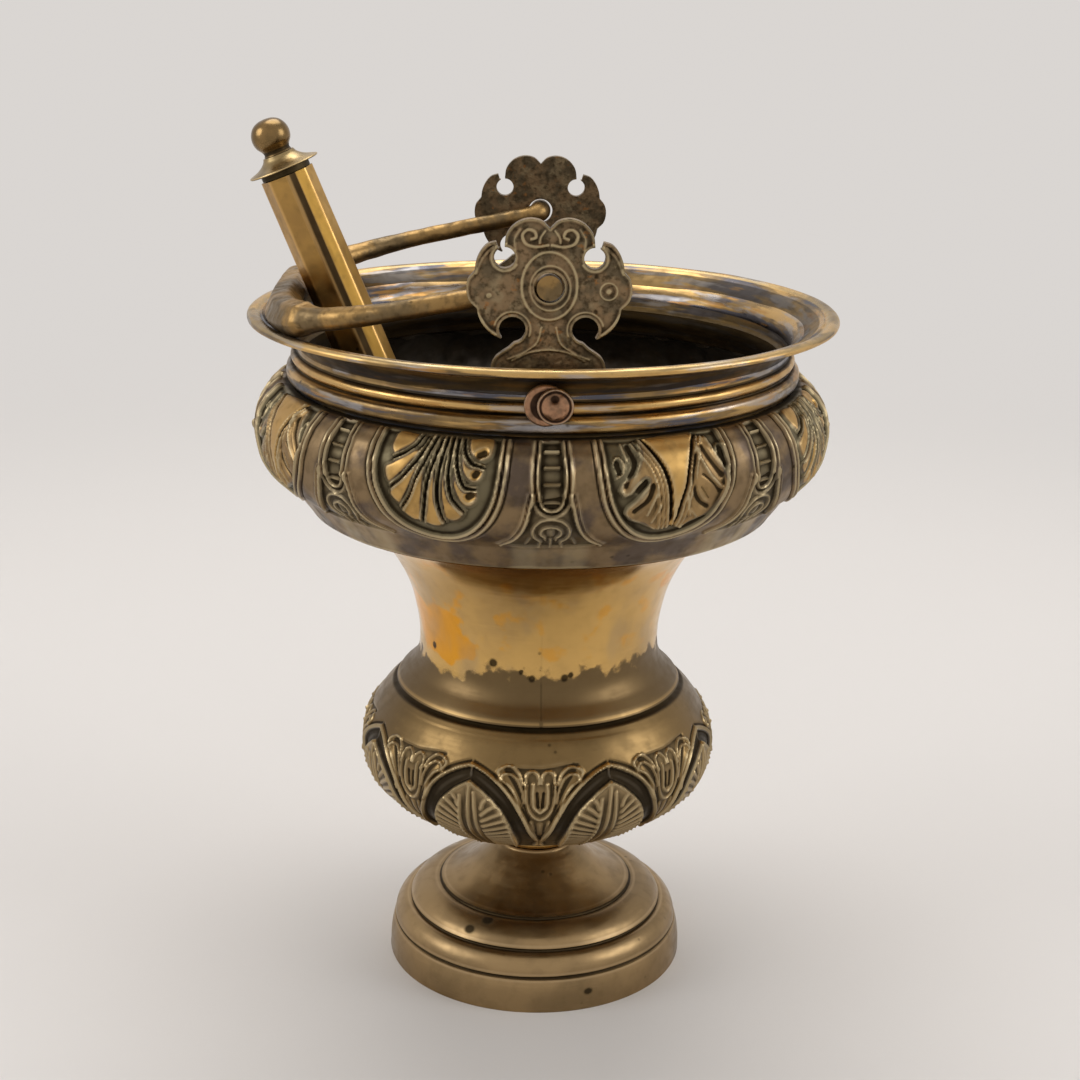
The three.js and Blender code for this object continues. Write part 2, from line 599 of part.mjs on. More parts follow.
// One ear, cast flat, its outer face towards -Y. It is trimmed to the neck's inner wall.
function earGeometry() {
  const half = joined(...earLobeShares.map((shares) => {
    const points = shares.map(([across, up]) => new THREE.Vector2(across * earHalfWidth, up * earHalfWidth));
    return points.length > 2 ? new THREE.SplineCurve(points).getPoints((points.length - 1) * 2) : points;
  }));
  const other = half.slice(1, -1).reverse().map((point) => new THREE.Vector2(-point.x, point.y));
  const plate = new THREE.ExtrudeGeometry(new THREE.Shape([...half, ...other]), {
    depth: earThickness,
    bevelEnabled: false,
  }).rotateX(Math.PI / 2).translate(0, -earInside, pivotHeight);
  const through = (radius, x, z, sides) => solidOf(
    bar(radius, earInside - overrun, earFace + overrun, sides).rotateX(Math.PI / 2).translate(x, 0, z));
  let ear = solidOf(plate).subtract(through(earHoleRadius, 0, pivotHeight, smallSides))
    .subtract(through(rivetBore, rivetOffset, rivetHeight, fineSides));
  for (const side of [1, -1]) {
    const [upperAcross, upperUp] = upperNotchPlaceShares;
    const [lowerAcross, lowerUp] = lowerNotchPlaceShares;
    ear = ear.subtract(through(upperNotchRadius, side * upperAcross * earHalfWidth,
      pivotHeight + upperUp * earHalfWidth, fineSides));
    ear = ear.subtract(through(lowerNotchRadius, side * lowerAcross * earHalfWidth,
      pivotHeight + lowerUp * earHalfWidth, fineSides));
  }
  const wall = neckInside(neckOutline(), seamGap);
  const bottom = neckBase - overrun;
  const top = pivotHeight + earHalfWidth;
  const cavity = [
    ...corners([[0, bottom], [wall[0].x, bottom]]),
    ...wall,
    ...corners([[rimRadius, wall.at(-1).y], [rimRadius, top], [0, top]]),
  ];
  return geometryOf(ear.intersect(solidOf(turned(cavity, wideSides))));
}

// Where the rove lies: its inner face, a little sunk into the beads, and its outer face.
const largeBeadShare = Math.max(...neckBeadShares.map(([across]) => across));
const largeBeadRadius = neckRadius + (rimRadius - neckRadius) * largeBeadShare;
const roveFace = largeBeadRadius - roveSeatDepth + seamGap;
const roveOutside = roveFace + roveThickness;

// A copper rivet with a hammered head outside and a flat tail on the ear, its axis along -Y.
function rivetGeometry() {
  const tailFace = earInside - seamGap;
  const headBase = roveOutside + seamGap;
  const outline = [
    ...placed(rivetTailShares, 0, rivetTailRadius, tailFace, -rivetTailHeight),
    ...corners([[rivetShankRadius, tailFace], [rivetShankRadius, headBase]]),
    ...placed(rivetHeadShares, 0, rivetHeadRadius, headBase, rivetHeadHeight),
  ];
  return turned(outline, fineSides).rotateX(Math.PI / 2).translate(rivetOffset, 0, rivetHeight);
}

// The round copper plate under the rivet's head, bored off its centre.
function roveGeometry() {
  const plate = bar(roveRadius, roveFace, roveOutside, smallSides).rotateX(Math.PI / 2)
    .translate(rivetOffset + roveOffset, 0, rivetHeight);
  const bore = bar(rivetBore, roveFace - overrun, roveOutside + overrun, fineSides)
    .rotateX(Math.PI / 2).translate(rivetOffset, 0, rivetHeight);
  return geometryOf(solidOf(plate).subtract(solidOf(bore)));
}

function makeEars() {
  const parts = [["ear", earGeometry(), darkBrass], ["rivet", rivetGeometry(), copper],
    ["rove", roveGeometry(), copper]];
  return parts.flatMap(([name, geometry, material]) => [
    piece(`${name}_front`, geometry, material),
    piece(`${name}_rear`, geometry.clone().rotateZ(Math.PI), material),
  ]);
}

// Half the bail's width at a distance from the pivot: a curve fuller than an ellipse.
function bailWidthAt(reach) {
  const share = 1 - Math.pow(reach / bailReach, bailSquareness);
  return bailHalfWidth * Math.pow(Math.max(share, 0), 1 / bailSquareness);
}

// The bail's centre line in its plane, as [distance from the pivot, y], from the front pin to the rear one.
function bailLine() {
  const pinEnd = earFace + bailPinProud;
  const corner = bailHalfWidth + bailBendRadius;
  const bend = [0.25, 0.5, 0.75, 1].map((share) => new THREE.Vector2(
    bailBendRadius * (1 - Math.cos(share * Math.PI / 2)),
    corner - bailBendRadius * Math.sin(share * Math.PI / 2),
  ));
  const turns = 16;
  const bow = [];
  for (let step = 1; step <= turns; step += 1) {
    const angle = step / turns * Math.PI / 2;
    const reach = bailReach * Math.pow(Math.sin(angle), 2 / bailSquareness);
    if (reach > 2 * bailBendRadius) bow.push(new THREE.Vector2(reach, bailWidthAt(reach)));
  }
  const half = [new THREE.Vector2(0, pinEnd), new THREE.Vector2(0, corner), ...bend, ...bow];
  const front = half.map((point) => new THREE.Vector2(point.x, -point.y));
  return [...front, ...half.slice(0, -1).reverse()];
}

// The rod's radius at a point of the centre line: pin, slim arm, shoulder and thick grip.
function bailRadiusAt(reach, y) {
  const gripEnd = y < 0 ? bailGripNearEnd : bailGripFarEnd;
  const grown = THREE.MathUtils.smoothstep(reach, bailReach / 2, bailReach);
  const arm = THREE.MathUtils.lerp(bailArmRadius, bailShoulderRadius, grown);
  const onPin = 1 - THREE.MathUtils.smoothstep(reach, 0, bailBendRadius);
  const onGrip = reach > bailReach / 2
    ? 1 - THREE.MathUtils.smoothstep(Math.abs(y), gripEnd - bailGripRadius, gripEnd + bailGripRadius)
    : 0;
  return THREE.MathUtils.lerp(THREE.MathUtils.lerp(arm, bailPinRadius, onPin), bailGripRadius, onGrip);
}

// How far the bail folds below the level of its pivot before it meets the rim, or else hangs straight down.
function bailRestAngle() {
  const rim = new THREE.SplineCurve(rimOutline()).getPoints(bailSteps);
  const line = new THREE.SplineCurve(bailLine()).getPoints(bailSteps * 2);
  const clears = (angle) => line.every(({ x, y }) => {
    const centre = new THREE.Vector2(Math.hypot(x * Math.cos(angle), y), pivotHeight - x * Math.sin(angle));
    const reach = bailRadiusAt(x, y) + bailRestGap;
    return x < bailReach / 2 || rim.every((point) => point.distanceTo(centre) > reach);
  });
  let folded = 0;
  while (folded < Math.PI / 2 && clears(folded + foldStep)) folded += foldStep;
  return folded;
}

const restAngle = bailRestAngle();

// A rod whose radius changes along a smooth line, closed by flat ends.
function taperedRod(curve, radiusAt, steps, sides) {
  const frames = curve.computeFrenetFrames(steps, false);
  const positions = [];
  const index = [];
  for (let step = 0; step <= steps; step += 1) {
    const centre = curve.getPointAt(step / steps);
    const radius = radiusAt(centre);
    for (let side = 0; side < sides; side += 1) {
      const angle = (side + 0.5) / sides * Math.PI * 2;
      const spoke = frames.normals[step].clone().multiplyScalar(Math.cos(angle) * radius)
        .addScaledVector(frames.binormals[step], Math.sin(angle) * radius);
      positions.push(...centre.clone().add(spoke).toArray());
    }
  }
  for (let step = 0; step < steps; step += 1) {
    for (let side = 0; side < sides; side += 1) {
      const next = (side + 1) % sides;
      const low = step * sides;
      const high = low + sides;
      index.push(low + side, low + next, high + next, low + side, high + next, high + side);
    }
  }
  for (let side = 1; side < sides - 1; side += 1) {
    const last = steps * sides;
    index.push(0, side + 1, side, last, last + side, last + side + 1);
  }
  const rod = new THREE.BufferGeometry();
  rod.setAttribute("position", new THREE.Float32BufferAttribute(positions, 3));
  rod.setIndex(index);
  const flat = rod.toNonIndexed();
  flat.computeVertexNormals();
  return flat;
}

function makeBail() {
  const line = bailLine().map((point) => new THREE.Vector3(
    -point.x * Math.cos(restAngle), point.y, pivotHeight - point.x * Math.sin(restAngle)));
  const curve = new THREE.CatmullRomCurve3(line, false, "centripetal");
  const radiusAt = (point) => bailRadiusAt(Math.hypot(point.x, point.z - pivotHeight), point.y);
  return piece("bail", taperedRod(curve, radiusAt, bailSteps, bailSides), darkBrass);
}

// The aspergillum is built along +Z with its perforated ball at the origin, then leant on the bail.
const headTop = headRadius + headNeckHeight;
const ferruleBase = headTop + seamGap;
const tubeBase = ferruleBase + ferruleHeight + seamGap;
const tubeTop = tubeBase + tubeLength;
const capBase = tubeTop + seamGap;
const capTop = capBase + capCollarHeight + capHeight;
const finialBase = capTop + seamGap;
const tieRodBottom = headTop - tieRodGrip;
const tieRodTop = finialBase + tieRodGrip;
const spigotRadius = tubeTopAcrossFlats / 2 - tubeWall - boreGap;
const rodBore = tieRodRadius + boreGap;

// Radial holes through one half of the ball, in rings at equal steps from its pole.
function perforated(solid, rings, direction) {
  let cut = solid;
  for (const [count, tilt] of rings) {
    for (let turn = 0; turn < count; turn += 1) {
      const hole = bar(headHoleRadius, headRadius - headWall - overrun, headRadius + overrun, holeSides)
        .rotateX(tilt * degree).rotateZ(turn / count * Math.PI * 2);
      cut = cut.subtract(solidOf(direction < 0 ? hole.rotateX(Math.PI) : hole));
    }
  }
  return cut;
}

// Points of an arc about the origin, its angles in degrees up from the level.
function arcPoints(radius, from, to, steps) {
  return new THREE.EllipseCurve(0, 0, radius, radius, from * degree, to * degree).getPoints(steps);
}

// The perforated ball is two halves that meet at a band, with the neck on the upper one and a sponge inside.
function makeHeadHalves() {
  const inner = headRadius - headWall;
  const joint = seamGap / 2;
  const bandTop = joint + headBandHeight;
  const bandAngle = Math.asin(bandTop / headRadius) / degree;
  const neckAngle = Math.acos(headNeckRadius / headRadius) / degree;
  const neckEnd = headNeckRadius + headWall;
  const cavity = turned([
    ...corners([[0, -inner]]),
    ...arcPoints(inner, -poleAngle, poleAngle, arcSteps + 2),
    ...corners([[0, inner]]),
  ], smallSides);
  const upperOutside = turned([
    ...corners([[0, joint], [headBandRadius, joint], [headBandRadius, bandTop]]),
    ...arcPoints(headRadius, bandAngle, neckAngle, arcSteps),
    ...corners([[headNeckRadius, headTop - headNeckHeight / 2], [neckEnd, headTop - headNeckHeight / 4]]),
    ...corners([[neckEnd, headTop], [0, headTop]]),
  ], smallSides);
  const lowerOutside = turned([
    ...corners([[0, -headRadius]]),
    ...arcPoints(headRadius, -poleAngle, -bandAngle, arcSteps),
    ...corners([[headBandRadius, -bandTop], [headBandRadius, -joint], [0, -joint]]),
  ], smallSides);
  const rodHole = bar(rodBore, tieRodBottom - seamGap, headTop + overrun, fineSides);
  const upper = solidOf(upperOutside).subtract(solidOf(cavity)).subtract(solidOf(rodHole));
  const lower = solidOf(lowerOutside).subtract(solidOf(cavity));
  const sponge = new THREE.SphereGeometry(inner - spongeGap, smallSides, fineSides).rotateX(Math.PI / 2);
  return [
    piece("head_upper_half", geometryOf(perforated(upper, upperHoleRings, 1)), agedBrass),
    piece("head_lower_half", geometryOf(perforated(lower, lowerHoleRings, -1)), agedBrass),
    piece("sponge", sponge, spongeYellow),
  ];
}

// The octagonal handle tube, a little slimmer at its top, with a face turned towards the front left.
function makeTube() {
  const taper = tubeTopAcrossFlats / tubeAcrossFlats;
  const turn = Math.PI / 2 - (tubeFacetTurn + 45 / 2) * degree;
  const octagon = (acrossFlats, bottom, top, topScale) => {
    const radius = acrossFlats / 2 * octagonCorner;
    return new THREE.CylinderGeometry(radius * topScale, radius, top - bottom, 8)
      .rotateY(turn).rotateX(Math.PI / 2).translate(0, 0, (bottom + top) / 2);
  };
  const outside = octagon(tubeAcrossFlats, tubeBase, tubeTop, taper);
  const bore = octagon(tubeTopAcrossFlats - tubeWall * 2, tubeBase - overrun, tubeTop + overrun, 1);
  return piece("handle_tube", geometryOf(solidOf(outside).subtract(solidOf(bore))), brightBrass);
}

// The ferrule swells between the ball's neck and the tube, and has a spigot in the tube.
function makeFerrule() {
  const ferruleTop = ferruleBase + ferruleHeight;
  const spigotTop = tubeBase + spigotLength;
  const outline = [
    ...corners([[rodBore, ferruleBase]]),
    ...placed(ferruleShares, 0, ferruleRadius, ferruleBase, ferruleHeight),
    ...corners([[spigotRadius, ferruleTop], [spigotRadius, spigotTop], [rodBore, spigotTop]]),
  ];
  return piece("tube_ferrule", turned(outline, smallSides), brightBrass);
}

// The cap: a spigot in the tube, a short collar, and a thin flange that sweeps up to the finial.
function makeCap() {
  const spigotEnd = tubeTop - spigotLength;
  const collar = tubeTopAcrossFlats / 2;
  const flangeBase = capBase + capCollarHeight;
  const outline = [
    ...corners([[rodBore, spigotEnd], [spigotRadius, spigotEnd], [spigotRadius, capBase]]),
    ...corners([[collar, capBase], [collar, flangeBase], [capFlangeRadius, flangeBase]]),
    ...smooth(placed(capSweepShares, capNeckRadius, capFlangeRadius, flangeBase, capHeight)),
    ...corners([[rodBore, capTop]]),
  ];
  return piece("cap_flange", turned(outline, smallSides), brightBrass);
}

// The ball finial, slightly flattened, on a short foot, with a blind hole for the tie rod.
function makeFinial() {
  const half = finialHeight / 2;
  const ball = new THREE.EllipseCurve(0, finialBase + half, finialRadius, half, -50 * degree, Math.PI / 2);
  const outline = [
    ...corners([[0, finialBase], [capNeckRadius - seamGap, finialBase]]),
    ...ball.getPoints(fineSides / 2).slice(0, -1),
    ...corners([[0, finialBase + finialHeight]]),
  ];
  const hole = bar(rodBore, finialBase - overrun, tieRodTop + seamGap, fineSides);
  const finial = solidOf(turned(outline, smallSides)).subtract(solidOf(hole));
  return piece("finial_ball", geometryOf(finial), brightBrass);
}

function makeTieRod() {
  return piece("tie_rod", bar(tieRodRadius, tieRodBottom, tieRodTop, fineSides), steel);
}

// The lean of the aspergillum, from where its tube meets the bail's grip.
const headHeight = studHeadTop + seamGap + headRadius;
const gripCentre = new THREE.Vector2(
  -bailReach * Math.cos(restAngle) - headOffset,
  pivotHeight - bailReach * Math.sin(restAngle) - headHeight,
);
const widthAtGrip = THREE.MathUtils.lerp(tubeAcrossFlats, tubeTopAcrossFlats,
  (gripCentre.length() - tubeBase) / tubeLength);
const tubeReach = widthAtGrip / 2 * octagonCorner * Math.cos((45 / 2 - tubeFacetTurn) * degree);
const contactReach = tubeReach + bailGripRadius + tubeRestGap;
const lean = Math.atan2(-gripCentre.x, gripCentre.y) - Math.asin(contactReach / gripCentre.length());

function makeAspergillum() {
  const aspergillum = new THREE.Group();
  aspergillum.add(...makeHeadHalves(), makeFerrule(), makeTube(), makeCap(), makeFinial(), makeTieRod());
  aspergillum.position.set(headOffset, 0, headHeight);
  aspergillum.rotation.y = -lean;
  return aspergillum;
}

const bucket = new THREE.Group();
bucket.add(makeFoot(), makeCollar(), ...makeStudSet(), makeBowl(), makeWaist(), makeBulge(), makeNeck());
bucket.add(...makeEars(), makeBail(), makeAspergillum());

export default bucket;
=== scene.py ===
"""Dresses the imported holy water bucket: surfaces worked out with numpy stand for the sheet metal on the CAD bodies,
the remaining CAD nodes are painted in place, and a pale studio stage goes round them. Lengths are in mm until a
mesh is made, which is in metres.
"""

import math

import bpy
import numpy as np
from bpy.props import FloatProperty, FloatVectorProperty, PointerProperty
from bpy.types import Operator, Panel, PropertyGroup
from mathutils import Matrix, Vector


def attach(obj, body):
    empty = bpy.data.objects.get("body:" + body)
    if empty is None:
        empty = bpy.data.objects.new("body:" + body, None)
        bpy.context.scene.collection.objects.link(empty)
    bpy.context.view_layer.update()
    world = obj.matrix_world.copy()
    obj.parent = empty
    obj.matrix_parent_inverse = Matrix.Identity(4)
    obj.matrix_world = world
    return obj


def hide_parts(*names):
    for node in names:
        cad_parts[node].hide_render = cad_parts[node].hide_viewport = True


bl_info = {
    "name": "Holy Water Bucket",
    "version": (1, 0, 0),
    "blender": (4, 5, 0),
    "location": "View3D > Sidebar > Bucket",
    "description": "An embossed brass holy water bucket with its aspergillum, on a pale studio stage",
    "category": "Add Mesh",
}

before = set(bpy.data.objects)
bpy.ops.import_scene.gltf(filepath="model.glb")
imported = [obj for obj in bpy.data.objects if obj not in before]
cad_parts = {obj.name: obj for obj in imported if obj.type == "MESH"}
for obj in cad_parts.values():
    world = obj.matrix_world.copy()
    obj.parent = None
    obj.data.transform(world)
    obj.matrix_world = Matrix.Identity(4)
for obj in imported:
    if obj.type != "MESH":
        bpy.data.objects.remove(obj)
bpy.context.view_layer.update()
MM = 0.001

# Thickness of the embossed skins, how far they may be pressed in, and the two depths that the lining lies between
SKIN, DEEPEST, LINING = 1.7, -1.6, (1.8, 2.5)
# Radii by which angles become mm on the chased sheets and on the waist, and the height of the bowl's shoulder
BULGE_ROUND, BOWL_ROUND, WAIST_ROUND, BOWL_SHOULDER = 108, 66, 47, 112.0
# Half the width of an ear, and how far the rivets' axis lies below the bail's
EAR_HALF, RIVET_DROP = 27.2, 38.1
# The aspergillum leans towards -X about the centre of its ball
LEAN, BALL_CENTRE, BALL_RADIUS = math.radians(22.259), np.array([3.0, 0.0, 74.3]), 17
# Edges that bend by more than this are sharp
CREASE = math.radians(38)
# The place of a piece that stands as it was turned: a matrix and a shift
UPRIGHT = (np.eye(3), np.zeros(3))
# Distances in m over which the floor goes over into the backdrop
FLOOR_FADE = (0.45, 1.3)
# The camera: focal length over the frame's width, degrees aside, down and rolled, and m from the axis and the floor
CAMERA_FOCAL, CAMERA_TURN, CAMERA_PLACE = 1951 / 1080, (-1.2, 17.545, 0.833), (0.724, 0.402)

# Outlines of the turned pieces as (radius, height), in spans that are smooth within and meet at crisp corners
FOOT_OUTSIDE = [
    [(59.3, 0), (59.2, 4), (58.8, 8), (58.2, 11), (57.6, 13)],
    [(57.6, 13), (56.8, 13.3), (56.7, 13.9), (57.3, 14.4)],
    [(57.3, 14.4), (56.7, 17), (55.1, 19.6), (53.2, 21.1), (51.5, 21.5)],
    [(51.5, 21.5), (50.5, 21.5), (50.2, 22.1), (50.7, 22.7)],
    [(50.7, 22.7), (49.2, 25), (46.2, 27.3), (42.7, 28.7), (39.8, 29)],
    [(39.8, 29), (38.9, 28.9), (38.5, 29.3), (38.5, 29.9)],
    [(38.5, 29.9), (34, 31.5), (28, 34.9), (22.4, 39.2), (18.2, 42.8)],
    [(18.2, 42.8), (15.8, 44.9), (14.6, 46.4), (15.2, 47.5), (16.2, 48)],
]
FOOT_INSIDE = [[(16.2, 48), (3.4, 48)], [(3.4, 48), (3.4, 45)], [(3.4, 45), (12.8, 44.8)],
               [(12.8, 44.8), (16.8, 41.2), (24, 36), (33, 30.3), (38, 27.6)],
               [(38, 27.6), (44.5, 26), (48.7, 21)], [(48.7, 21), (53.4, 18.6), (55, 12.6)],
               [(55, 12.6), (56.6, 6), (57.6, 0)]]
BOWL_OUTSIDE = [
    [(16.5, 51.5), (22, 54.4), (29, 57), (37, 60.2), (45, 64), (52, 68), (58, 72.3), (62.5, 76), (66, 80),
     (68, 84), (68.9, 88), (69.3, 92), (69.4, 96), (68.7, 100), (66.8, 104), (64.1, 108), (61.2, 112),
     (57.4, 116)],
    [(57.4, 116), (55.6, 116.5), (54.6, 117.3)],
]
WAIST_OUTSIDE = [
    [(55.9, 117.8), (54.9, 119.4), (52.4, 121.9), (50.2, 124), (48.8, 126), (47.8, 128), (47, 130.6), (46.7, 135),
     (47.1, 142), (48.5, 150), (50.7, 158), (54.2, 166), (58.4, 173), (63.6, 179.2), (70.6, 184.4), (79, 188),
     (86.4, 189.6)],
]
BULGE_BAND = [[(82.9, 190.2), (87.6, 190.3), (88.5, 190.9), (88.9, 191.7)], [(88.9, 191.7), (92, 195.8), (94.9, 200)]]
BULGE_SWELL = [
    [(94.9, 200), (97.2, 202), (99.8, 204), (102.2, 206), (104, 208), (105.3, 210), (106.3, 212), (107.3, 216),
     (107.9, 220), (108, 222), (107.5, 226), (106.3, 230), (105.1, 232), (103.8, 234), (101.7, 236), (99.4, 238),
     (95, 238.8)],
]
NECK_OUTSIDE = [
    [(94, 237.4), (94, 239.6)],
    [(94, 239.6), (95.8, 240.4), (96.3, 242.6), (95.9, 244.7), (94.5, 245.7)],
    [(94.5, 245.7), (93.2, 246), (94, 246.8)],
    [(94, 246.8), (94.6, 248.2), (94, 249.6), (92.6, 250.3)],
    [(92.6, 250.3), (92.2, 252.4), (93.1, 255.3), (96.4, 258.5), (101.4, 260.7), (106.6, 261.8), (109, 262)],
    [(109, 262), (110, 262.5), (110.1, 263.4), (109.5, 264.3), (108.2, 264.8), (106.8, 264.7), (105.7, 264.1)],
]
NECK_INSIDE = [
    [(105.7, 264.1), (105.2, 263.8), (104.6, 264.1), (104, 263.7)],
    [(104, 263.7), (101, 262), (97.5, 259.4), (94.2, 256), (92.2, 252.5), (91.3, 250.2)],
    [(91.3, 250.2), (91.2, 249.3), (89.9, 248.2)],
    [(89.9, 248.2), (90, 244), (91.4, 241.4), (92.6, 237.4)],
]

# The bulge's frames and the flower under the ladder, right halves, in mm from the middle line and down from the top
PANEL_FRAME = [(24.2, 2), (24, 9), (23.4, 18), (21.6, 26), (18.6, 32), (14.6, 37), (9.2, 41.6), (4.4, 44.2), (0, 45)]
LADDER_SLOT = [(4.1, 3), (4.1, 24), (3.4, 26.8), (1.9, 28.4), (0, 28.9)]
LADDER_FOOT = [(6.4, 23), (7.4, 27), (8.7, 32.5), (11, 38), (14.4, 43), (19.5, 48)]
FLOWER_ARCH = [(4.6, 50), (3.9, 45), (5.8, 42), (6.7, 38.5), (5.9, 35), (3.6, 32.6), (0, 31.8)]
FLOWER_RING = [(1.9, 43.5), (2.2, 41.2), (3.6, 39.2), (3.2, 36.6), (1.6, 35.4), (0, 35.1)]

# The shell panel, in mm from its middle line and down from the top of the bulge
SHELL_RIBS = [
    [(-16.5, 14), (-12, 11.5), (-9, 8), (-7.5, 3)],
    [(-16.5, 24.3), (-12, 20.5), (-8.5, 16), (-5.5, 10), (-3.6, 3)],
    [(-12.5, 31.5), (-9, 26.5), (-6.5, 20), (-4, 13), (-1.8, 3)],
    [(-5, 36), (-3.5, 29), (-2.5, 22), (-1, 14), (0.6, 3)],
    [(3.5, 35.5), (1.5, 28), (1.5, 20), (2, 12), (2.6, 3)],
    [(11, 30.5), (7, 26), (5.5, 20), (5, 12), (4.7, 3)],
    [(15.5, 22), (11.5, 21.5), (9, 17), (7.5, 11), (6.7, 3)],
    [(18, 14.4), (13.4, 13), (10.4, 9), (9, 3)],
]
SHELL_LOBES = [
    [(-8.5, 3), (-18.5, 3.5), (-19.2, 8), (-18.5, 11), (-16.8, 13), (-13, 10.5), (-10, 7.5)],
    [(-9, 10), (-13, 13), (-17, 15.5), (-19.3, 17), (-19.2, 20), (-17.5, 22.8), (-13, 19.8), (-9.5, 15.5), (-6.5, 9)],
    [(-9.5, 17.5), (-13.5, 21.5), (-16.8, 25), (-17.3, 26.5), (-15.8, 28.8), (-13.5, 30.3), (-10.5, 26.5),
     (-7.5, 20), (-6, 15)],
    [(-7.8, 21), (-10, 26.8), (-12.8, 32.2), (-10.5, 35), (-8, 36.4), (-5.8, 35.8), (-4.5, 29), (-3.6, 22), (-4, 16)],
    [(-2.5, 24), (-3, 30), (-4, 36.8), (-1, 38.2), (1.5, 37.8), (3.2, 36), (0.8, 28), (0.6, 20), (0, 15)],
    [(2.5, 20), (2.8, 28), (4.8, 34.3), (7, 34.8), (10, 33.3), (11.3, 31.2), (6.2, 26.3), (4.5, 20), (3.7, 13)],
    [(6.8, 21), (8.5, 25), (10, 27.3), (12.5, 28.6), (15, 27.5), (16.2, 25), (15.8, 22.3), (12, 22.8), (9, 19.5),
     (7, 14)],
    [(9.5, 14), (10.5, 17), (12.5, 19.2), (15.5, 19.8), (17.8, 18), (18, 15), (13, 14.3), (9, 10)],
    [(10.5, 3), (12, 9), (14.5, 11.5), (17, 12.3), (20, 11), (21.2, 8), (21, 3)],
]
SHELL_HOLLOWS = [[(13, 24.8), (14.2, 24.2)], [(15, 17.2), (15.8, 16.2)], [(15.8, 9.8), (17.4, 9)]]

# The leaf panel: a plain wedge between two half leaves
WEDGE_LEFT = [(-9, 3), (-5.5, 9.5), (-2.7, 15), (-0.8, 21), (0.1, 27), (0.7, 32), (1.6, 38)]
WEDGE_RIGHT = [(13.5, 3), (9.8, 10), (7.3, 16), (5.8, 22), (4.3, 27), (3.3, 33), (2.6, 38)]
LEAF_LEFT = [(-10, 4), (-10.5, 12), (-13.5, 17), (-17.8, 19.5), (-19, 21.8), (-17.3, 24), (-15, 23.2), (-12.5, 20.2),
             (-9.5, 18), (-8.3, 18.6), (-8.5, 21.2), (-11.5, 24.4), (-16, 28.2), (-17, 30.2), (-15, 32.8),
             (-9.5, 35.3), (-4, 39)]
LEAF_RIGHT = [(12.3, 4), (12.2, 11), (13.2, 15.5), (16, 20), (20.5, 24.5)]
LEAF_TIP = [(17.6, 5), (19.4, 12), (21.8, 18), (22.6, 22), (20.8, 27.5), (18.2, 31), (15.6, 33.8), (12.6, 35.2),
            (9.4, 36.4), (5, 39)]
LEAF_CURLS = [[(-21, 12.6), (-19.2, 10.2), (-17.2, 12.6), (-17.9, 16.2), (-20.2, 17.8)],
              [(20.3, 12), (20.7, 9.6), (22.3, 8.6), (23.4, 10.2)], [(-5.6, 24), (-8.6, 31.5)],
              [(-4, 28), (-6.6, 34.6)], [(-17, 5), (-15.8, 12)], [(6.4, 26), (8.2, 33.5)], [(8, 31), (11, 34.4)]]
LEAF_SLOTS = [[(-14.4, 6), (-13, 13), (-16.8, 20.6)], [(-9.4, 19.8), (-12.2, 22.4)],
              [(-6.8, 21), (-8.5, 26), (-13.3, 30)], [(-19.6, 12.4), (-18.8, 15.6)],
              [(10.6, 12), (8.8, 19), (9.4, 25), (12, 29), (15, 31)],
              [(14.4, 9), (17, 15), (20.4, 20)], [(22.2, 11.4), (22.8, 16.4)]]
LEAF_LINES = [[(12.6, 19), (15.6, 21.4), (19.6, 26)], [(11.8, 23.4), (15.4, 28)]]

# The bowl's arches and palmettes, in mm round the bowl and down from the shoulder
ARCH_EDGE = [(21, 10.4), (16, 13.7), (11, 19), (8, 24.5), (5.6, 30), (4, 35), (2.4, 40), (1, 45), (0, 49.5)]
ARCH_INNER = [(21.5, 17.6), (17.4, 21.4), (13.8, 26), (11.6, 31), (10.6, 36), (10.2, 42), (10.4, 52),
              (12, 62)]
PALMETTE_DROP = [(2.6, 13.5), (2.7, 19), (2.3, 23), (0, 25.4)]
PALMETTE_CUP = [(5.2, 14), (5, 20), (3.9, 24.6), (2, 27.4), (0, 28.4)]
PALMETTE_HORN = [(5.8, 21), (7, 15), (9, 11.4), (11.5, 10), (13.6, 10.6), (14.4, 12.6)]
PALMETTE_BACK = [(6.9, 26), (8.6, 19), (11.6, 14.4), (14.9, 12), (15.6, 9.6), (13.4, 7.7), (10.6, 7.5), (8, 9.8),
                 (6.4, 13.6)]
PALMETTE_LOBE = [(0.5, 13.4), (0.9, 10.4), (2.6, 8.8), (4.6, 9.4), (5.4, 12), (5.2, 14.6)]

# The right half of an ear's outline, as shares of its half width, from the top down
EAR_LOBES = [
    [(0, 0.705), (0.096, 0.795), (0.243, 0.825), (0.412, 0.766), (0.522, 0.63), (0.544, 0.485)],
    [(0.621, 0.47), (0.647, 0.55)],
    [(0.647, 0.55), (0.75, 0.515), (0.838, 0.415), (0.89, 0.283), (0.901, 0.191)],
    [(0.901, 0.191), (0.982, 0.088), (1, -0.037), (0.967, -0.162), (0.875, -0.257)],
    [(0.875, -0.257), (0.846, -0.368), (0.779, -0.485), (0.695, -0.566), (0.596, -0.621)],
    [(0.559, -0.629), (0.415, -0.675)],
    [(0.415, -0.675), (0.493, -0.746), (0.566, -0.794)],
    [(0.566, -0.794), (0.647, -0.86), (0.699, -0.971), (0.706, -1.103), (0.643, -1.287), (0.46, -1.489),
     (0.221, -1.618), (0, -1.654)],
]


# Curves

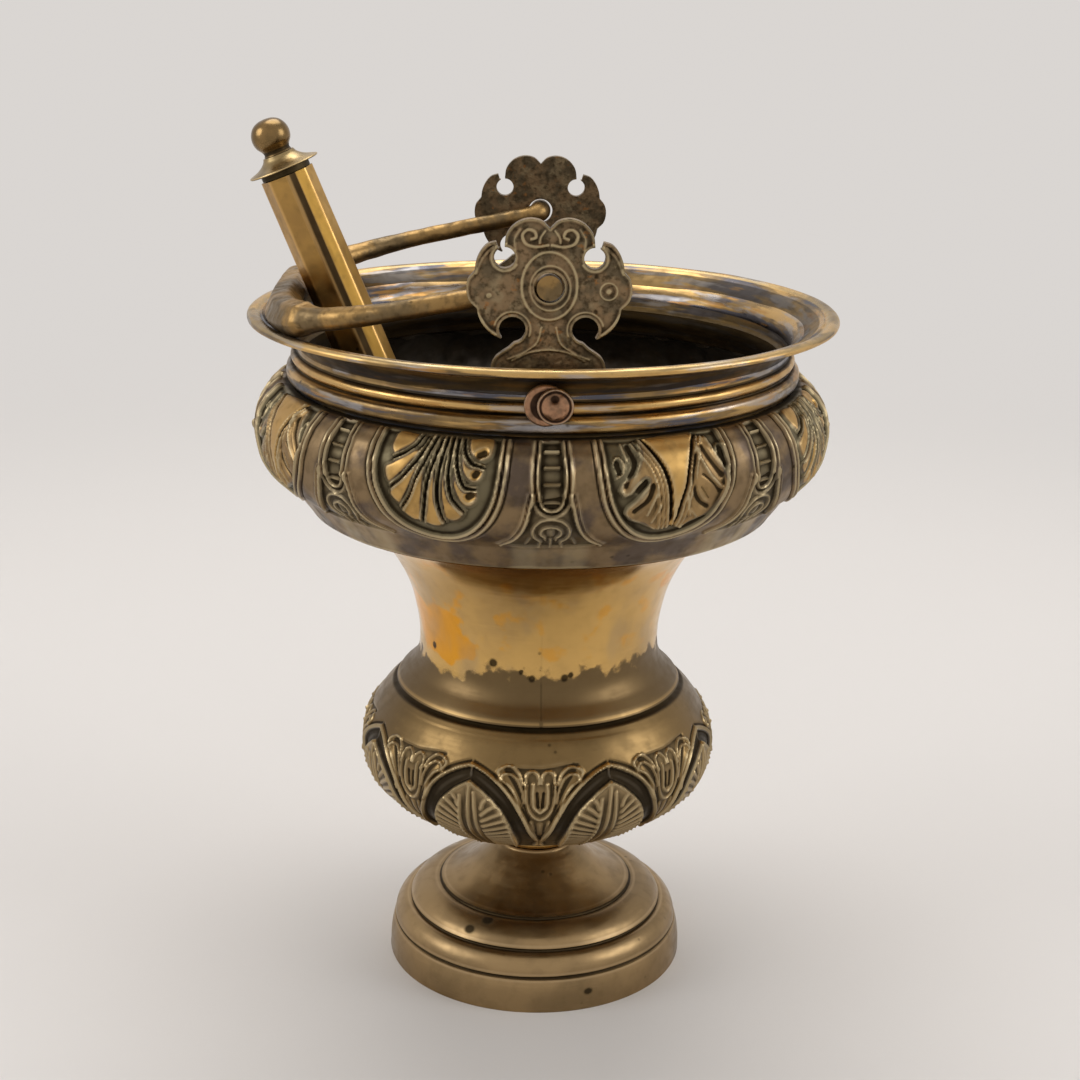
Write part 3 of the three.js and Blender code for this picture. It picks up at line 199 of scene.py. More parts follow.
def smooth_line(points, step):
    """A cubic Hermite curve through the points, whose tangents are central differences over the chord lengths,
    sampled at even steps of arc length."""
    given = np.asarray(points, float)
    chord = run_along(given)
    tangent = np.gradient(given, chord, axis=0)
    at = np.linspace(0, chord[-1], 16 * len(given))
    span = np.clip(np.searchsorted(chord, at, side="right") - 1, 0, len(given) - 2)
    width = (chord[span + 1] - chord[span])[:, None]
    t = (at - chord[span])[:, None] / width
    dense = ((2 * t ** 3 - 3 * t ** 2 + 1) * given[span] + (t ** 3 - 2 * t ** 2 + t) * width * tangent[span]
             + (3 * t ** 2 - 2 * t ** 3) * given[span + 1] + (t ** 3 - t ** 2) * width * tangent[span + 1])
    run = run_along(dense)
    at = np.linspace(0, run[-1], max(2, int(round(run[-1] / step)) + 1))
    return np.stack([np.interp(at, run, dense[:, k]) for k in range(dense.shape[1])], 1)


def outline(spans, step):
    """Smooth spans joined end to end, with their shared corner points kept once."""
    parts = [smooth_line(span, step) for span in spans]
    return np.concatenate([part[:-1] for part in parts[:-1]] + [parts[-1]])


def run_along(line):
    """Arc length from the line's first point."""
    return np.r_[0, np.cumsum(np.linalg.norm(np.diff(line, axis=0), axis=1))]


def line_normals(line):
    """Unit normals on the right-hand side of the way the line runs."""
    tangent = np.gradient(line, axis=0)
    tangent /= np.linalg.norm(tangent, axis=1, keepdims=True) + 1e-9
    return np.stack([tangent[:, 1], -tangent[:, 0]], 1)


def inward(line, distance):
    """The line moved sideways, against its normals."""
    return line - distance * line_normals(line)


def shifted(points, distance):
    """The smooth line through the points, moved sideways by a distance along its normals."""
    return inward(smooth_line(points, 0.8), -distance)


def closed_frame(half):
    """A whole U from its right half, left end first."""
    right = smooth_line(half, 0.8)
    return np.concatenate([right * (-1, 1), right[::-1][1:]])


def both(points):
    """The line and its mirror image across."""
    return [np.asarray(points, float), np.asarray(points, float) * (-1, 1)]


def moved(across, *lines):
    return [np.asarray(line, float) + (across, 0) for line in lines]


def oval(middle, up, wide, tall, start=0, end=360):
    """Points of an oval between two angles in degrees."""
    angle = np.radians(np.linspace(start, end, 25))
    return np.stack([middle + wide * np.cos(angle), up + tall * np.sin(angle)], 1)


def rounded_step(x):
    """Rises smoothly from nought at nought to one at one."""
    x = np.clip(x, 0, 1)
    return x * x * (3 - 2 * x)


def bell(value, middle, width):
    """One at the middle, falling off to both sides as a bell curve of that width."""
    return np.exp(-((value - middle) / width) ** 2)


def near(loop, places, width):
    """A bell curve of that width in mm round each of the places, added up along the line."""
    gap = ((loop[:, None, :] - np.array(places, float)[None]) ** 2).sum(-1)
    return np.exp(-gap / width ** 2).sum(1)


def around(columns):
    """Even angles of one turn."""
    return np.arange(columns) / columns * 2 * np.pi


def from_front(theta):
    """The angle as it lies within half a turn of the front."""
    return (theta + np.pi) % (2 * np.pi) - np.pi


# Chasing

class Chasing:
    """A flat sheet of worked metal that repeats across. u runs across it and v down it. height is its level in mm on
    a fine grid, and tone is below nought for dark ground and above it for flats that are rubbed bright."""

    def __init__(self, width, depth, step):
        self.step = step
        self.width = width
        self.u = np.arange(0, width - step / 2, step)
        self.v = np.arange(0, depth + step / 2, step)
        self.height = np.zeros((len(self.v), len(self.u)))
        self.tone = np.zeros_like(self.height)

    def windows(self, path, reach):
        """The path's repeats that come near the sheet, each with the rows and columns of the grid round it."""
        for turn in (-1, 0, 1):
            line = path + (turn * self.width, 0)
            low, high = line.min(0) - reach, line.max(0) + reach
            rows = slice(*np.searchsorted(self.v, (low[1], high[1])))
            cols = slice(*np.searchsorted(self.u, (low[0], high[0])))
            if self.height[rows, cols].size:
                yield line, rows, cols

    def far(self, line, rows, cols):
        """Distance from each grid point of a window to the line."""
        a, d = line[:-1], np.diff(line, axis=0)
        u, v = self.u[cols][None, :, None], self.v[rows][:, None, None]
        t = np.clip(((u - a[:, 0]) * d[:, 0] + (v - a[:, 1]) * d[:, 1]) / (d ** 2).sum(1).clip(1e-9), 0, 1)
        return np.sqrt(((u - a[:, 0] - t * d[:, 0]) ** 2 + (v - a[:, 1] - t * d[:, 1]) ** 2).min(-1))

    def within(self, line, rows, cols):
        """Even-odd rule: which grid points of a window lie inside the closed line."""
        a, b = line, np.roll(line, -1, axis=0)
        u, v = self.u[cols][None, :, None], self.v[rows][:, None, None]
        crosses = (a[:, 1] > v) != (b[:, 1] > v)
        rise = np.where(b[:, 1] == a[:, 1], 1e-9, b[:, 1] - a[:, 1])
        return (crosses & (u < a[:, 0] + (v - a[:, 1]) / rise * (b[:, 0] - a[:, 0]))).sum(-1) % 2 == 1

    def ridges(self, paths, half_width, height):
        """Adds height times one minus the square of the distance over the half width, the highest of all paths."""
        layer = np.zeros_like(self.height)
        for path in paths:
            smooth = path if len(path) > 12 else smooth_line(path, 0.6)
            for line, rows, cols in self.windows(smooth, half_width):
                rounded = 1 - (self.far(line, rows, cols) / half_width) ** 2
                layer[rows, cols] = np.maximum(layer[rows, cols], rounded.clip(0))
        self.height += height * layer

    def insides(self, outlines, edge):
        """For each closed outline its window and the share there: one inside, eased in over the edge's width."""
        for path in outlines:
            for line, rows, cols in self.windows(smooth_line(np.vstack([path, path[:1]]), 0.6), edge):
                yield (rows, cols), self.within(line, rows, cols) * rounded_step(self.far(line, rows, cols) / edge)

    def pads(self, outlines, height, edge):
        """Adds height inside the closed outlines."""
        layer = np.zeros_like(self.height)
        for window, share in self.insides(outlines, edge):
            layer[window] = np.maximum(layer[window], share)
        self.height += height * layer

    def tinted(self, outlines, value, edge=0.7):
        """Draws the tone inside the closed outlines to a value."""
        for window, share in self.insides(outlines, edge):
            self.tone[window] += share * (value - self.tone[window])

    def softened(self, reach):
        """The height blurred by a Gaussian of that reach, by way of the Fourier transform."""
        tall = np.concatenate([self.height, self.height[::-1]])
        return blurred(tall, self.step, reach)[:len(self.height)]

    def sample(self, field, u, v):
        """Bilinear reading of a field at every pair of a row's v and a column's u, repeating across."""
        a, b = (u / self.step) % len(self.u), np.clip(v / self.step, 0, len(self.v) - 1.001)
        a0, b0 = a.astype(int) % len(self.u), b.astype(int)
        a1, fa, fb = (a0 + 1) % len(self.u), (a - np.floor(a))[None, :], (b - b0)[:, None]
        low = field[np.ix_(b0, a0)] * (1 - fa) + field[np.ix_(b0, a1)] * fa
        high = field[np.ix_(b0 + 1, a0)] * (1 - fa) + field[np.ix_(b0 + 1, a1)] * fa
        return low * (1 - fb) + high * fb


def blurred(field, step, reach):
    """A repeating field, whose points are a step apart, or one step down and another across, blurred by a Gaussian of
    that reach."""
    down, across = (np.fft.fftfreq(*pair) for pair in zip(field.shape, np.broadcast_to(step, 2)))
    fade = np.exp(-2 * (np.pi * reach) ** 2 * (down[:, None] ** 2 + across[None, :] ** 2))
    return np.real(np.fft.ifft2(np.fft.fft2(field) * fade))


def bulge_chasing():
    """One quarter of the bulge: a ladder at 0, the leaf panel, a second ladder and the shell panel, each an eighth
    of the way round further on."""
    eighth = 2 * math.pi * BULGE_ROUND / 8
    work = Chasing(2 * eighth, 50, 0.25)
    leaf, shell = eighth / 2, eighth * 1.5
    panel, slot = closed_frame(PANEL_FRAME), closed_frame(LADDER_SLOT)
    field = closed_frame([(6.6, 25), *LADDER_FOOT[1:], (14, 49.5), (0, 49.8)])
    for spot in (leaf, shell):
        work.pads(moved(spot, panel), -1.0, 1.4)
        work.tinted(moved(spot, panel), -1)
        work.ridges(moved(spot, panel, inward(panel, 2.4)), 1.05, 0.85)
        work.ridges(moved(spot, inward(panel, 1.2)), 0.5, -0.35)
        work.ridges(moved(spot, inward(panel, 3.7)), 0.6, -0.35)
    rungs = [[(-2.5, level), (2.5, level)] for level in (7.6, 13.4, 19.4, 26)]
    for spot in (0, eighth):
        for area, depth, edge, tone in ((slot, -1.2, 0.9, -0.7), (field, -0.75, 1.2, -0.55)):
            work.pads(moved(spot, area), depth, edge)
            work.tinted(moved(spot, area), tone)
        for lines, half_width, height in (
                ([slot, inward(slot, 2.3)], 0.85, 0.65), ([inward(slot, 1.2)], 0.5, -0.5), (rungs, 0.75, 1.5),
                (both(LADDER_FOOT), 0.9, 0.9), (both(shifted(LADDER_FOOT, 1.9)), 0.7, 0.6),
                (both(FLOWER_ARCH), 0.75, 0.9), (both(FLOWER_RING), 0.75, 0.9), ([[(0, 37), (0, 39.6)]], 1.5, 0.7),
                ([[(0, 42.5), (0, 49)]], 0.7, 0.9), (both([(9.6, 48), (7.4, 42)]), 0.7, 0.6)):
            work.ridges(moved(spot, *lines), half_width, height)
    lobes = moved(shell, *SHELL_LOBES)
    work.pads(lobes, 0.95, 1.1)
    work.tinted(lobes, 1, 1.3)
    wedge = moved(leaf, np.vstack([WEDGE_LEFT, WEDGE_RIGHT[::-1]]))
    leaves = moved(leaf, np.vstack([LEAF_LEFT, WEDGE_LEFT[::-1]]),
                   np.vstack([LEAF_RIGHT[:1], LEAF_TIP, WEDGE_RIGHT[::-1]]))
    work.pads(wedge, 1.2, 0.8)
    work.pads(leaves, 0.7, 0.9)
    work.tinted(leaves, 0.4)
    work.tinted(wedge, 1)
    for spot, lines, half_width, height in (
            (shell, [smooth_line([*lobe, lobe[0]], 0.6) for lobe in SHELL_LOBES], 0.55, 0.4),
            (shell, [shifted(rib, -0.85) for rib in SHELL_RIBS], 0.7, 0.85),
            (shell, [shifted(rib, 0.85) for rib in SHELL_RIBS], 0.7, 0.85),
            (shell, SHELL_RIBS, 0.45, -0.45), (shell, SHELL_HOLLOWS, 1.9, -1.5),
            (leaf, [LEAF_LEFT, LEAF_RIGHT, LEAF_TIP], 0.8, 0.75),
            (leaf, [shifted(WEDGE_LEFT, offset) for offset in (-1.4, -3, -4.6)], 0.75, 0.65),
            (leaf, [shifted(WEDGE_RIGHT, offset) for offset in (1.4, 3)], 0.75, 0.65),
            (leaf, [WEDGE_LEFT, WEDGE_RIGHT], 0.55, -0.75), (leaf, LEAF_CURLS, 0.65, 0.7),
            (leaf, LEAF_SLOTS, 1.2, -1.0), (leaf, LEAF_LINES, 0.5, -0.55)):
        work.ridges(moved(spot, *lines), half_width, height)
    work.height *= rounded_step((work.v[:, None] - 2.2) / 1.6) * rounded_step((50 - work.v[:, None]) / 1.5)
    return work


def bowl_chasing():
    """One eighth of the bowl: a palmette at 0 and an arch half way to the next."""
    eighth = 2 * math.pi * BOWL_ROUND / 8
    arch = eighth / 2
    work = Chasing(eighth, 80, 0.25)
    edge = smooth_line([(arch, 8.4), *ARCH_EDGE], 0.8)
    inner = smooth_line([(arch, 14.6), *ARCH_INNER], 0.8)
    darkened = both(np.vstack([edge, (1.2, 56), (6.4, 79), inner[::-1]]))
    heart = np.vstack([inner, (12, 79), (arch, 79)])
    palm = [np.vstack([closed_frame([(15, 7), (8, 19), (4.4, 31), (0, 46)]), (0, 7)])]
    work.pads(darkened, -1.25, 1.1)
    work.tinted(darkened, -1)
    work.tinted([heart, (2 * arch, 0) + heart * (-1, 1)], 0.6)
    work.pads(palm, -0.55, 1.2)
    work.tinted(palm, 0.35)
    veins = [[(arch, 15), (arch - 0.6, 28), (arch - 1, 44), (arch - 1, 62)],
             [(arch + 1.8, 19), (arch + 2.2, 30), (arch + 2.6, 44), (arch + 2.4, 60)],
             [(arch - 3.6, 21), (arch - 4, 30), (arch - 4.4, 44), (arch - 4, 60)]]
    spots = np.arange(20.5, 54, 2.9)
    reach = np.interp(spots, inner[:, 1], arch - inner[:, 0])
    ribs = [[(arch - r + 0.6, s), (arch - r * 0.72, s + 1.6), (arch - 4.6, s + 4.4)]
            for s, r in zip(spots, reach) if r > 6]
    ribs += [[(2 * arch - u, v) for u, v in rib] for rib in ribs]
    for lines, half_width, height in (
            (both(edge), 0.9, 0.8), (both(inward(edge, 1.7)), 0.6, -0.5), (both(inner), 0.9, 0.75),
            (veins, 0.8, 0.7), (ribs, 0.85, 0.6), (both(PALMETTE_DROP), 0.65, 0.75),
            (both(PALMETTE_CUP), 0.65, 0.7), (both(PALMETTE_HORN), 0.65, 0.7), (both(PALMETTE_BACK), 0.7, 0.7),
            (both(PALMETTE_LOBE), 0.65, 0.7), (both([(1.2, 17), (0.8, 23)]), 0.6, -0.6),
            (both([(3.4, 29.5), (1.6, 38), (0, 44.5)]), 0.8, 0.7), ([[(0, 30.5), (0, 37)]], 1.2, 0.45)):
        work.ridges(lines, half_width, height)
    work.height *= rounded_step((work.v[:, None] - 5) / 2) * rounded_step((70 - work.v[:, None]) / 12)
    return work


# Meshes

def turning_waves(theta, run, amplitude, seed):
    """Slow dents of hand-worked metal: a few sine waves round and along the piece, with seeded phases, added up."""
    chance = np.random.default_rng(seed)
    total = np.zeros((len(run), len(theta)))
    for turns in (2, 3, 5, 8, 13, 21):
        lean, phase = chance.uniform(0.02, 0.11), chance.uniform(0, 2 * np.pi, 2)
        total += (np.sin(turns * theta[None, :] + phase[0]) * np.cos(lean * run[:, None] * turns ** 0.5 + phase[1])
                  / turns ** 0.7)
    return amplitude * total / 1.6


def grid_faces(rows, cols, wrap_rows, wrap_cols):
    """Quads of a grid of points, row by row, that may close on itself either way."""
    r = np.arange(rows if wrap_rows else rows - 1)[:, None]
    c = np.arange(cols if wrap_cols else cols - 1)[None, :]
    up, on = (r + 1) % rows, (c + 1) % cols
    return np.stack([r * cols + c, r * cols + on, up * cols + on, up * cols + c], -1).reshape(-1, 4)


def capped_faces(rows, columns):
    """Quads of a row of rings, and a fan at each end to the two points that follow the rings."""
    count, here = rows * columns, np.arange(columns)
    on = (here + 1) % columns
    return [grid_faces(rows, columns, False, True), np.stack([np.full(columns, count), on, here], 1),
            np.stack([np.full(columns, count + 1), count - columns + here, count - columns + on], 1)]


def make_piece(name, points, faces, made, stands_for=(), values=None):
    """A mesh from points in mm and lists of faces of one size each, smooth but for edges sharper than the crease.
    made names its body, its slot, which is not used, and its finish, and values holds the numbers that the finish reads
    at each point."""
    body, slot, finish = made
    mesh = bpy.data.meshes.new(name)
    corners = np.concatenate([group.ravel() for group in faces]).astype(np.int32)
    sizes = np.concatenate([np.full(len(group), group.shape[1]) for group in faces])
    mesh.vertices.add(len(points))
    mesh.vertices.foreach_set("co", (np.asarray(points) * MM).astype(np.float32).ravel())
    mesh.loops.add(len(corners))
    mesh.loops.foreach_set("vertex_index", corners)
    mesh.polygons.add(len(sizes))
    mesh.polygons.foreach_set("loop_start", np.r_[0, np.cumsum(sizes)[:-1]].astype(np.int32))
    mesh.update(calc_edges=True)
    mesh.shade_smooth()
    mesh.set_sharp_from_angle(angle=CREASE)
    for key, value in (values or {}).items():
        layer = mesh.attributes.new(key, "FLOAT", "POINT")
        layer.data.foreach_set("value", np.asarray(value, np.float32).ravel())
    piece = bpy.data.objects.new(name, mesh)
    bpy.context.scene.collection.objects.link(piece)
    mesh.materials.append(bpy.data.materials[finish])
    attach(piece, body)
    if stands_for:
        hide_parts(*stands_for)
    return piece


def turned_points(line, theta):
    """Each (radius, height) of the line carried round the upright axis: x = r sin(theta), y = -r cos(theta)."""
    radius, height = line[..., 0], line[..., 1]
    if line.ndim == 2:
        radius, height = radius[:, None], height[:, None]
    return np.stack([radius * np.sin(theta), -radius * np.cos(theta), height * np.ones_like(theta)], -1)


def put(points, place):
    """The points turned and moved to a place, which is a matrix and a shift."""
    return points.reshape(-1, 3) @ place[0].T + place[1]


def turned_piece(name, outside, inside, columns, made, stands_for=(), relief=None, patina_and_painted_light=None, tone=None,
                 place=UPRIGHT):
    """A closed turned shell: the outside and inside lines make one loop, which is carried round the axis with each
    point moved along the loop's normal by relief(angles, loop). hollow and tone are worked out in the same way."""
    loop = np.concatenate([outside, inside[1:-1]])
    normal = np.roll(loop, -1, axis=0) - np.roll(loop, 1, axis=0)
    normal = np.stack([normal[:, 1], -normal[:, 0]], 1) / (np.linalg.norm(normal, axis=1, keepdims=True) + 1e-9)
    theta = around(columns)

    def spread(rule):
        return np.zeros((len(loop), columns)) + (rule(theta, loop) if rule else 0)

    line = loop[:, None, :] + spread(relief)[..., None] * normal[:, None, :]
    values = {"patina_and_painted_light": spread(patina_and_painted_light)}
    if tone:
        values["tone"] = spread(tone)
    return make_piece(name, put(turned_points(line, theta), place), [grid_faces(len(loop), columns, True, True)],
                      made, stands_for, values)


def turned_solid(name, line, columns, made, stands_for=(), place=UPRIGHT, lump=None, patina_and_painted_light=None):
    """A solid turned from a line that starts and ends on the axis. lump(points) may move the points, and
    hollow(points) says how dark they are."""
    middle = line[1:-1]
    points = np.concatenate([turned_points(middle, around(columns)).reshape(-1, 3),
                             [(0, 0, line[0, 1]), (0, 0, line[-1, 1])]])
    values = {"patina_and_painted_light": patina_and_painted_light(points)} if patina_and_painted_light else None
    return make_piece(name, put(lump(points) if lump else points, place), capped_faces(len(middle), columns), made,
                      stands_for, values)


def embossed_shell(part, node, finish, work, soft, outside, down, across, theta, every, relief, waves, darkness,
                   plain, core, inner, columns, pressed):
    """Two embossed half skins and the lining behind them. across gives the place of an angle on the chased sheet and
    down that of each point of the outline. The skins' outer rows are moved along the outline's normals by the
    chasing and by the waves, their back is plain, and a flat face closes each end. The lining's inner side shows
    the chasing softened, pressed the other way."""
    back = inward(outside, SKIN)[::every][::-1]
    rows = len(outside) + len(back)
    ends = np.arange(rows) * len(theta)
    faces = [grid_faces(rows, len(theta), True, False), ends[None], ends[None, ::-1] + len(theta) - 1]
    for side, start in (("front", -0.5), ("rear", 0.5)):
        turn = theta + start * np.pi
        u = across(turn)
        lift = (relief * work.sample(work.height, u, down) + waves(turn)).clip(DEEPEST)
        line = outside[:, None, :] + lift[..., None] * line_normals(outside)[:, None, :]
        points = np.concatenate([turned_points(line, turn), turned_points(back, turn)]).reshape(-1, 3)
        patina_and_painted_light = darkness * work.sample(soft - work.height, u, down) + plain[:, None]
        values = {"patina_and_painted_light": patina_and_painted_light, "tone": work.sample(work.tone, u, down)}
        blank = np.zeros((len(back), len(turn)))
        make_piece(f"{part}_skin_{side}", points, faces, ("bucket", "aged_brass", finish), (node,),
                   {key: np.concatenate([value, blank]) for key, value in values.items()})

    def shows_through(theta, loop):
        deep = np.interp(loop[:, 1], outside[:, 1], down)
        return -pressed(loop)[:, None] * work.sample(soft, across(theta), deep) * (
            np.arange(len(loop)) >= len(core) - 1)[:, None]

    turned_piece(f"{part}_lining", core, inner, columns, ("bucket", "dark_brass", "inside brass"),
                 relief=shows_through)


# Finishes

class Nodes:
    """A node tree. Each method adds a node and hands back its output."""

    def __init__(self, owner):
        owner.use_nodes = True
        self.tree = owner.node_tree

    def add(self, kind, **settings):
        node = self.tree.nodes.new(kind)
        for key, value in settings.items():
            setattr(node, key, value)
        return node

    def feed(self, value, socket):
        if isinstance(value, bpy.types.NodeSocket):
            self.tree.links.new(value, socket)
        elif hasattr(value, "__len__") and len(value) == 3 and socket.type == "RGBA":
            socket.default_value = (*value, 1)
        else:
            socket.default_value = value

    def math(self, what, first, second=0.0):
        node = self.add("ShaderNodeMath", operation=what)
        self.feed(first, node.inputs[0])
        self.feed(second, node.inputs[1])
        return node.outputs["Value"]

    def seen(self):
        """One for what the camera, metal or glass sees, and nought for light on the object."""
        rays = self.add("ShaderNodeLightPath").outputs
        return self.math("MAXIMUM", rays["Is Camera Ray"],
                         self.math("MAXIMUM", rays["Is Glossy Ray"], rays["Is Transmission Ray"]))

    def mix(self, share, first, second, last):
        """Mixes two shaders and feeds the result to the last node's Surface."""
        node = self.add("ShaderNodeMixShader")
        for value, socket in zip((share, first, second), node.inputs):
            self.feed(value, socket)
        self.feed(node.outputs[0], self.tree.nodes[last].inputs["Surface"])


class Finish(Nodes):
    """A material on object coordinates."""

    def __init__(self, name):
        self.material = bpy.data.materials.new(name)
        super().__init__(self.material)
        self.shader = self.tree.nodes["Principled BSDF"]
        self.spot = self.add("ShaderNodeTexCoord").outputs["Object"]

    def texture(self, kind, size, scale, shift):
        """A texture whose marks are about that many mm, stretched and shifted."""
        place, node = self.add("ShaderNodeMapping"), self.add(kind)
        self.feed(self.spot, place.inputs["Vector"])
        place.inputs["Scale"].default_value = scale
        place.inputs["Location"].default_value = shift
        self.feed(place.outputs["Vector"], node.inputs["Vector"])
        node.inputs["Scale"].default_value = 1 / (size * MM)
        return node

    def noise(self, size, detail=3, scale=(1, 1, 1), shift=(0, 0, 0)):
        """Fractal noise."""
        node = self.texture("ShaderNodeTexNoise", size, scale, shift)
        node.inputs["Detail"].default_value = detail
        return node.outputs["Fac"]

    def cells(self, size, shift=(0, 0, 0)):
        """Distance to scattered points."""
        return self.texture("ShaderNodeTexVoronoi", size, (1, 1, 1), shift).outputs["Distance"]

    def attribute(self, name):
        return self.add("ShaderNodeAttribute", attribute_name=name).outputs["Fac"]

    def between(self, value, low, high, to_low=0.0, to_high=1.0):
        """The value's share of the way from low to high, eased and held at both ends."""
        node = self.add("ShaderNodeMapRange", interpolation_type="SMOOTHSTEP")
        for key, given in (("Value", value), ("From Min", low), ("From Max", high), ("To Min", to_low),
                           ("To Max", to_high)):
            self.feed(given, node.inputs[key])
        return node.outputs["Result"]

    def total(self, *terms):
        """The sum of values, each times its weight."""
        parts = [self.math("MULTIPLY", value, weight) for value, weight in terms]
        result = parts.pop(0)
        for part in parts:
            result = self.math("ADD", result, part)
        return result

    def blend(self, share, first, second):
        node = self.add("ShaderNodeMix", data_type="RGBA")
        for value, socket in ((share, 0), (first, 6), (second, 7)):
            self.feed(value, node.inputs[socket])
        return node.outputs[2]

    def laid(self, colour, other, value, low, high, most=1.0):
        """The other colour laid over the first, by up to a share, as the value goes from low to high."""
        return self.blend(self.math("MULTIPLY", self.between(value, low, high), most), colour, other)

    def finish(self, colour, rough, height, depth, metal=1.0):
        """Sets the shader: colour, roughness, and a bump whose height runs over that depth in mm."""
        bump = self.add("ShaderNodeBump")
        for value, socket in ((1.0, bump.inputs["Strength"]), (depth * MM, bump.inputs["Distance"]),
                              (height, bump.inputs["Height"]), (bump.outputs["Normal"], self.shader.inputs["Normal"]),
                              (colour, self.shader.inputs["Base Color"]), (rough, self.shader.inputs["Roughness"]),
                              (metal, self.shader.inputs["Metallic"])):
            self.feed(value, socket)


def dimmed(colour, share):
    return tuple(share * part for part in colour)


def brass_finish(name, gold, olive, deep, patch=34, blotch=0.5, rough=(0.3, 0.46), pit=0.05, shift=(0, 0, 0),
                 brushed=(1, 1, 1), mottle=0.3, speck=0.8, grain=5, wear_and_highlight=None, hue=None, dull=None):
    """Aged brass: gold showing through an olive skin in patches, deep brown where the attribute read first is high,
    which is patina in the recesses and painted shade, bright where it is below nought, which is rubbed ridges and
    painted highlights, dark specks, fine polishing marks and a pitted surface. hue changes the colour under these, and
    dull the gloss."""
    f = Finish(name)
    patina_and_painted_light = f.attribute("patina_and_painted_light")
    patches = f.noise(patch, 4, shift=shift)
    fine = f.noise(grain, 5, shift=shift)
    marks = f.noise(3.5, 3, scale=brushed)
    specks = f.math("MULTIPLY", f.between(f.cells(7, shift), 0.05, 0.16, 1, 0),
                    f.between(f.noise(22, 2, shift=(0.3, 0.1, 0.2)), 0.5, 0.64))
    darkened = f.between(patina_and_painted_light, 0.03, 0.5)
    colour = f.laid(gold, olive, patches, 0.5 - 0.16 * blotch, 0.5 + 0.2 * blotch)
    colour = f.laid(colour, dimmed(gold, 1.3), marks, 0.55, 0.75, 0.18)
    if hue:
        colour = hue(f, colour)
    colour = f.laid(colour, deep, fine, 0.46, 0.72, mottle)
    colour = f.blend(f.math("MULTIPLY", specks, speck), colour, dimmed(deep, 0.35))
    bare_and_highlight = wear_and_highlight or tuple(min(1.25 * part + 0.05, 1) for part in gold)
    colour = f.laid(colour, bare_and_highlight, patina_and_painted_light, -0.08, -0.6, 0.75)
    colour = f.blend(f.math("MULTIPLY", darkened, 0.92), colour, dimmed(deep, 0.4))
    gloss = f.between(f.total((fine, 0.6), (marks, 0.4)), 0.35, 0.65, *rough)
    gloss = f.total((gloss, 1), (darkened, 0.22), *([(dull(f), 0.2)] if dull else []))
    f.finish(colour, gloss, f.total((fine, 0.5), (marks, 0.5), (specks, -0.6)), pit)


